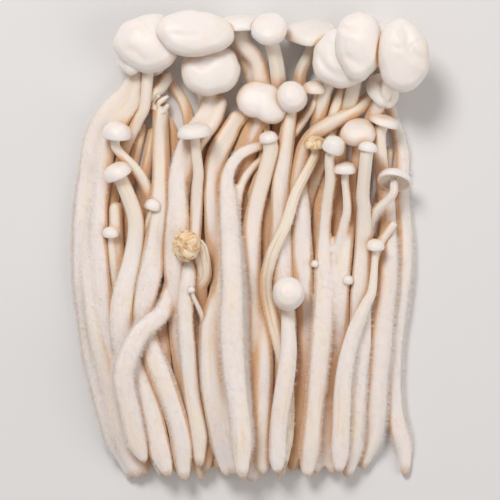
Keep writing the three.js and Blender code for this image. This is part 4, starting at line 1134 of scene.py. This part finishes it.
def cap_faces(piece, on_cap):
    """Gives the faces of the caps the second material."""
    mesh = piece.data
    first = np.empty(len(mesh.polygons), int)
    mesh.polygons.foreach_get("loop_start", first)
    corner = np.empty(len(mesh.loops), int)
    mesh.loops.foreach_get("vertex_index", corner)
    mesh.polygons.foreach_set("material_index", (on_cap[corner[first]] > 0.5).astype(int))
    mesh.polygons.foreach_set("use_smooth", np.ones(len(mesh.polygons), bool))
    mesh.update()


# The nap: short stiff hairs on the bellies of the stalks

def napped_places(piece, random):
    """Where the hairs of a piece stand: more on open bellies, none on caps and slim necks."""
    mesh = piece.data
    count = len(mesh.polygons)
    area, first = np.empty(count), np.empty(count, int)
    centre, normal = np.empty(count * 3), np.empty(count * 3)
    mesh.polygons.foreach_get("area", area)
    mesh.polygons.foreach_get("loop_start", first)
    mesh.polygons.foreach_get("center", centre)
    mesh.polygons.foreach_get("normal", normal)
    corner = np.empty(len(mesh.loops), int)
    mesh.loops.foreach_get("vertex_index", corner)
    corner = corner[first]
    facts = {}
    for name in ("share", "hollow", "on_cap"):
        facts[name] = np.empty(len(mesh.vertices))
        mesh.attributes[name].data.foreach_get("value", facts[name])
        facts[name] = facts[name][corner]
    foot, foot_over = NAP_FROM_FOOT
    neck, neck_over = NAP_TO_NECK
    belly = smooth((facts["share"] - foot) / foot_over) * smooth((neck - facts["share"]) / neck_over)
    open_to, open_over = NAP_IN_OPEN
    in_open = smooth((open_to - facts["hollow"]) / open_over)
    weight = area / MM**2 * belly * (facts["on_cap"] < 0.5) * in_open
    rise = normal.reshape(-1, 3)[:, 2]
    below, below_over = NAP_UNDERSIDE
    above, above_over = NAP_SHOULDERS
    weight *= smooth((rise + below) / below_over) * (NAP_ON_TOP + smooth((above - rise) / above_over))
    total = weight.sum()
    if total < 1:
        return None
    chosen = random.choice(count, int(total * NAP_DENSITY), p=weight / total)
    centre, normal = centre.reshape(-1, 3)[chosen], normal.reshape(-1, 3)[chosen]
    towards = vertices_of(piece)[corner[chosen]] - centre
    return centre + towards * random.random((len(chosen), 1)), normal


def grow_nap(piece, material, random):
    """Each hair is a closed spike of three sides."""
    standing = napped_places(piece, random)
    if standing is None:
        return None
    roots, normals = standing
    count = len(roots)
    lean = random.normal(size=(count, 3)) * NAP_LEAN
    ahead = normals + lean
    ahead /= np.linalg.norm(ahead, axis=1, keepdims=True)
    side = np.cross(ahead, random.normal(size=(count, 3)))
    side /= np.linalg.norm(side, axis=1, keepdims=True)
    over = np.cross(ahead, side)
    length = random.uniform(*NAP_LENGTH, (count, 1)) * MM
    low = roots - ahead * NAP_ROOT * MM
    turns = np.arange(3) * 2 * math.pi / 3
    ring = [low + (math.cos(a) * side + math.sin(a) * over) * NAP_RADIUS * MM for a in turns]
    clear = (roots + ahead * length)[:, 2] > 0
    places = np.stack([*ring, roots + ahead * length], axis=1)[clear].reshape(-1, 3)
    count = int(clear.sum())
    faces = np.array([(0, 1, 3), (1, 2, 3), (2, 0, 3), (2, 1, 0)])
    faces = (np.arange(count)[:, None, None] * 4 + faces).reshape(-1, 3)
    mesh = bpy.data.meshes.new(piece.name.replace("_flesh", "_nap"))
    mesh.from_pydata(places.tolist(), [], faces.tolist())
    mesh.materials.append(material)
    nap = bpy.data.objects.new(mesh.name, mesh)
    bpy.context.scene.collection.objects.link(nap)
    return nap


# Materials

class Nodes:
    """A short way to lay and link the nodes of one material."""

    def __init__(self, name):
        self.material = bpy.data.materials.new(name)
        self.material.use_nodes = True
        self.tree = self.material.node_tree
        self.shader = self.tree.nodes["Principled BSDF"]

    def add(self, kind, links=(), **settings):
        node = self.tree.nodes.new(kind)
        for key, value in settings.items():
            setattr(node, key, value)
        for socket, value in dict(links).items():
            self.put(node.inputs[socket], value)
        return node

    def put(self, socket, value):
        if isinstance(value, bpy.types.NodeSocket):
            self.tree.links.new(value, socket)
        else:
            socket.default_value = value

    def attribute(self, name, output="Fac"):
        return self.add("ShaderNodeAttribute", attribute_name=name).outputs[output]

    def math(self, operation, a, b=0.0, clamp=False):
        return self.add("ShaderNodeMath", {0: a, 1: b}, operation=operation, use_clamp=clamp).outputs[0]

    def scaled(self, vector, scale):
        return self.add("ShaderNodeVectorMath", {0: vector, 1: scale}, operation="MULTIPLY").outputs[0]

    def noise(self, vector, scale, detail=3.0, roughness=0.5):
        links = {"Vector": vector, "Scale": scale, "Detail": detail, "Roughness": roughness}
        return self.add("ShaderNodeTexNoise", links).outputs["Fac"]

    def band(self, value, low, high):
        links = {"Value": value, "From Min": low, "From Max": high}
        return self.add("ShaderNodeMapRange", links, interpolation_type="SMOOTHSTEP").outputs["Result"]

    def mixed(self, share, a, b):
        node = self.add("ShaderNodeMix", data_type="RGBA")
        self.put(node.inputs["Factor"], share)
        self.put(node.inputs["A"], a)
        self.put(node.inputs["B"], b)
        return node.outputs["Result"]

    def tinted(self, colour, tint, mask, strength):
        """The colour with a tint over it where the mask shows, at most as strong as given."""
        return self.mixed(self.math("MULTIPLY", mask, strength), colour, tint)

    def bump(self, height, strength, distance, normal=None):
        links = {"Height": height, "Strength": strength, "Distance": distance}
        if normal is not None:
            links["Normal"] = normal
        return self.add("ShaderNodeBump", links).outputs["Normal"]

    def finish(self, **sockets):
        for name, value in sockets.items():
            self.put(self.shader.inputs[name.replace("_", " ")], value)
        return self.material


PALE = (0.905, 0.835, 0.805, 1)
IVORY = (0.92, 0.825, 0.72, 1)
# honey colour of streaks and specks, also used for the painted shade of crevices
HONEY_AND_CREVICE_SHADE = (0.86, 0.65, 0.36, 1)
CAP_WHITE = (0.92, 0.865, 0.83, 1)
CAP_CREAM = (0.91, 0.82, 0.715, 1)
GILL_TAN = (0.86, 0.58, 0.30, 1)
SLIM_CREAM = (0.90, 0.79, 0.645, 1)
WARM_SHADE = (0.73, 0.42, 0.185, 1)
NAP_WHITE = (0.98, 0.95, 0.93, 1)
EARTH = (0.45, 0.29, 0.15, 1)
DRIED = (0.56, 0.31, 0.12, 1)
DRIED_PALE = (0.92, 0.75, 0.52, 1)
STRAW = (0.95, 0.86, 0.75, 1)
DOWN_WHITE = (0.95, 0.905, 0.87, 1)
DOWN_CREAM = (0.92, 0.84, 0.765, 1)


def stalk_flesh(name="stalk flesh", pale=PALE, ivory=IVORY, dried=0.0):
    n = Nodes(name)
    grain = n.attribute("grain", "Vector")
    crevice_tint_and_shade = n.attribute("crevice_tint_and_shade")
    share = n.attribute("share")
    fibres = n.noise(n.scaled(grain, (1, 1, 0.07)), 2.6, 4.0, 0.6)
    strands = n.noise(n.scaled(grain, (1, 1, 0.025)), 0.9, 3.0, 0.55)
    patches = n.noise(n.scaled(grain, (1, 1, 0.3)), 0.16, 2.0)
    nap = n.noise(n.scaled(grain, (1, 1, 0.4)), 5.0, 2.0)
    colour = n.mixed(n.band(patches, 0.42, 0.78), pale, ivory)
    colour = n.tinted(colour, ivory, n.band(fibres, 0.5, 0.85), 0.25)
    slender = n.math("MAXIMUM", n.attribute("slim"), n.band(share, 0.66, 0.92))
    colour = n.tinted(colour, SLIM_CREAM, slender, 0.55)
    streaks = n.math("MULTIPLY", n.band(strands, 0.56, 0.68), n.band(patches, 0.46, 0.62))
    colour = n.tinted(colour, HONEY_AND_CREVICE_SHADE, streaks, 0.42)
    # crevices where stalks meet: honey colour with painted shade
    colour = n.tinted(colour, HONEY_AND_CREVICE_SHADE, n.band(crevice_tint_and_shade, 0.4, 1.0), 0.7)
    colour = n.tinted(colour, WARM_SHADE, n.band(n.attribute("hollow"), 0.24, 0.9), 0.88)
    foot = n.math("MULTIPLY", n.band(share, 0.035, 0.0), n.band(nap, 0.2, 0.7))
    colour = n.tinted(colour, NAP_WHITE, n.band(nap, 0.5, 0.7), 0.35)
    colour = n.mixed(foot, colour, EARTH)
    if dried:
        colour = n.tinted(colour, DRIED, n.band(strands, 0.48, 0.66), dried)
    relief = n.bump(strands, 0.22, 0.0009)
    relief = n.bump(fibres, 0.2, 0.0005, relief)
    relief = n.bump(nap, 0.25, 0.0003, relief)
    return n.finish(Base_Color=colour, Roughness=0.75, Normal=relief, Specular_IOR_Level=0.25,
                    Subsurface_Weight=0.45, Subsurface_Radius=(1.0, 0.6, 0.4), Subsurface_Scale=0.003,
                    Sheen_Weight=0.8, Sheen_Roughness=0.45)


def cap_flesh(name="cap flesh", white=CAP_WHITE, ivory=CAP_CREAM, dried=0.0):
    n = Nodes(name)
    place = n.add("ShaderNodeTexCoord").outputs["Object"]
    crevice_tint_and_shade = n.attribute("crevice_tint_and_shade")
    cloudy = n.noise(place, 110.0, 4.0, 0.6)
    wrinkles = n.noise(place, 480.0, 4.0, 0.6)
    specks = n.noise(place, 1500.0, 2.0)
    colour = n.mixed(n.band(cloudy, 0.45, 0.8), white, ivory)
    # lines where caps and stalks meet: honey colour with painted shade
    colour = n.tinted(colour, HONEY_AND_CREVICE_SHADE, n.band(crevice_tint_and_shade, 0.45, 1.0), 0.55)
    colour = n.tinted(colour, WARM_SHADE, n.band(n.attribute("hollow"), 0.1, 0.7), 0.4)
    # tan of the gills, and on a dried cap darker in the grooves between the pleats
    colour = n.tinted(colour, GILL_TAN, n.attribute("gills"), 0.95)
    colour = n.tinted(colour, HONEY_AND_CREVICE_SHADE, n.band(specks, 0.66, 0.78), 0.18)
    if dried:
        colour = n.tinted(colour, DRIED, n.band(wrinkles, 0.5, 0.62), dried)
    relief = n.bump(cloudy, 0.3, 0.0012)
    relief = n.bump(wrinkles, 0.18, 0.0005, relief)
    relief = n.bump(specks, 0.06, 0.0001, relief)
    return n.finish(Base_Color=colour, Roughness=0.44, Normal=relief, Specular_IOR_Level=0.4,
                    Subsurface_Weight=0.5, Subsurface_Radius=(1.0, 0.65, 0.45), Subsurface_Scale=0.003,
                    Sheen_Weight=0.1)


def nap_finish():
    n = Nodes("nap")
    place = n.add("ShaderNodeTexCoord").outputs["Object"]
    colour = n.mixed(n.band(n.noise(place, 300.0), 0.3, 0.7), DOWN_WHITE, DOWN_CREAM)
    return n.finish(Base_Color=colour, Roughness=0.6, Subsurface_Weight=0.3, Subsurface_Scale=0.001,
                    Sheen_Weight=0.3, Specular_IOR_Level=0.2)


# The scene round the bunch. Places and sizes are in metres, powers in watts
FLOOR_WIDTH = 4
FLOOR_GREY = (0.78, 0.78, 0.78, 1)
KEY_LIGHT = {"place": (-0.26, 0.53, 0.84), "size": 0.35, "power": 5.9, "colour": (1, 0.965, 0.95)}
FILL_LIGHT = {"place": (0.7, -0.2, 0.6), "size": 0.7, "power": 2.2, "colour": (1, 0.95, 0.92)}
ROOM_LIGHT = (1, 0.96, 0.94, 1)
ROOM_STRENGTH = 0.36


def make_camera():
    data = bpy.data.cameras.new("camera")
    data.sensor_width = SENSOR_WIDTH
    data.lens = data.sensor_width * CAMERA_HEIGHT / (PHOTO_PIXEL * PHOTO_WIDTH)
    camera = bpy.data.objects.new("camera", data)
    camera.location = (*CAMERA_PLAN, CAMERA_HEIGHT * MM)
    bpy.context.scene.collection.objects.link(camera)
    bpy.context.scene.camera = camera


def make_light(name, place, size, power, colour):
    data = bpy.data.lights.new(name, "AREA")
    data.shape = "DISK"
    data.size = size
    data.energy = power
    data.color = colour
    light = bpy.data.objects.new(name, data)
    light.location = place
    light.rotation_euler = (-Vector(place)).to_track_quat("-Z", "Y").to_euler()
    bpy.context.scene.collection.objects.link(light)


def make_studio():
    bpy.ops.object.select_all(action="DESELECT")
    bpy.ops.mesh.primitive_plane_add(size=FLOOR_WIDTH)
    floor = bpy.context.object
    floor.name = "floor"
    n = Nodes("pale floor")
    floor.data.materials.append(n.finish(Base_Color=FLOOR_GREY, Roughness=0.8))
    make_light("key", **KEY_LIGHT)
    make_light("fill", **FILL_LIGHT)
    world = bpy.data.worlds.new("studio")
    world.use_nodes = True
    room = world.node_tree.nodes["Background"]
    room.inputs["Color"].default_value = ROOM_LIGHT
    room.inputs["Strength"].default_value = ROOM_STRENGTH
    bpy.context.scene.world = world
    bpy.context.scene.view_settings.view_transform = "Standard"


def build():
    pile_up(mushrooms)
    for m in mushrooms:
        m.spine = Spine(m)
    turn_caps(mushrooms)
    every_ring = own_samples(mushrooms)
    finishes = {False: (stalk_flesh(), cap_flesh()),
                True: (stalk_flesh("dried stalk", STRAW, DRIED_PALE, dried=0.5),
                       cap_flesh("dried cap", DRIED_PALE, IVORY, dried=0.75))}
    nap = nap_finish()
    random = np.random.default_rng(NAP_SEED)
    for clump in CLUMPS:
        members = [m for m in mushrooms if m.clump == clump]
        fills = lobe_fills(clump, members)
        parts = [cap_dome(m) for m in members + fills if m.cap]
        parts += [shred for m in members if m.node in TORN_ENDS for shred in shreds(m)]
        parts += [fibre for m in members if m.node in FRAYED for fibre in fibres(m)]
        piece = joined(grown_stalks(members), parts)
        if clump in LOBED_CAPS:
            melt_caps(piece)
        piece.name = clump + "_flesh"
        piece.data.name = piece.name
        dry = any(m.dry for m in members)
        piece.data.materials.clear()
        for material in finishes[dry]:
            piece.data.materials.append(material)
        finish_piece(piece, members, fills, every_ring)
        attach(piece, "root")
        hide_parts(clump)
        hairs = grow_nap(piece, nap, random)
        if hairs:
            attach(hairs, "root")


mushrooms = [Mushroom(number, **facts) for number, facts in enumerate(MUSHROOMS)]
CLUMPS = list(dict.fromkeys(m.clump for m in mushrooms))
make_camera()
make_studio()
build()
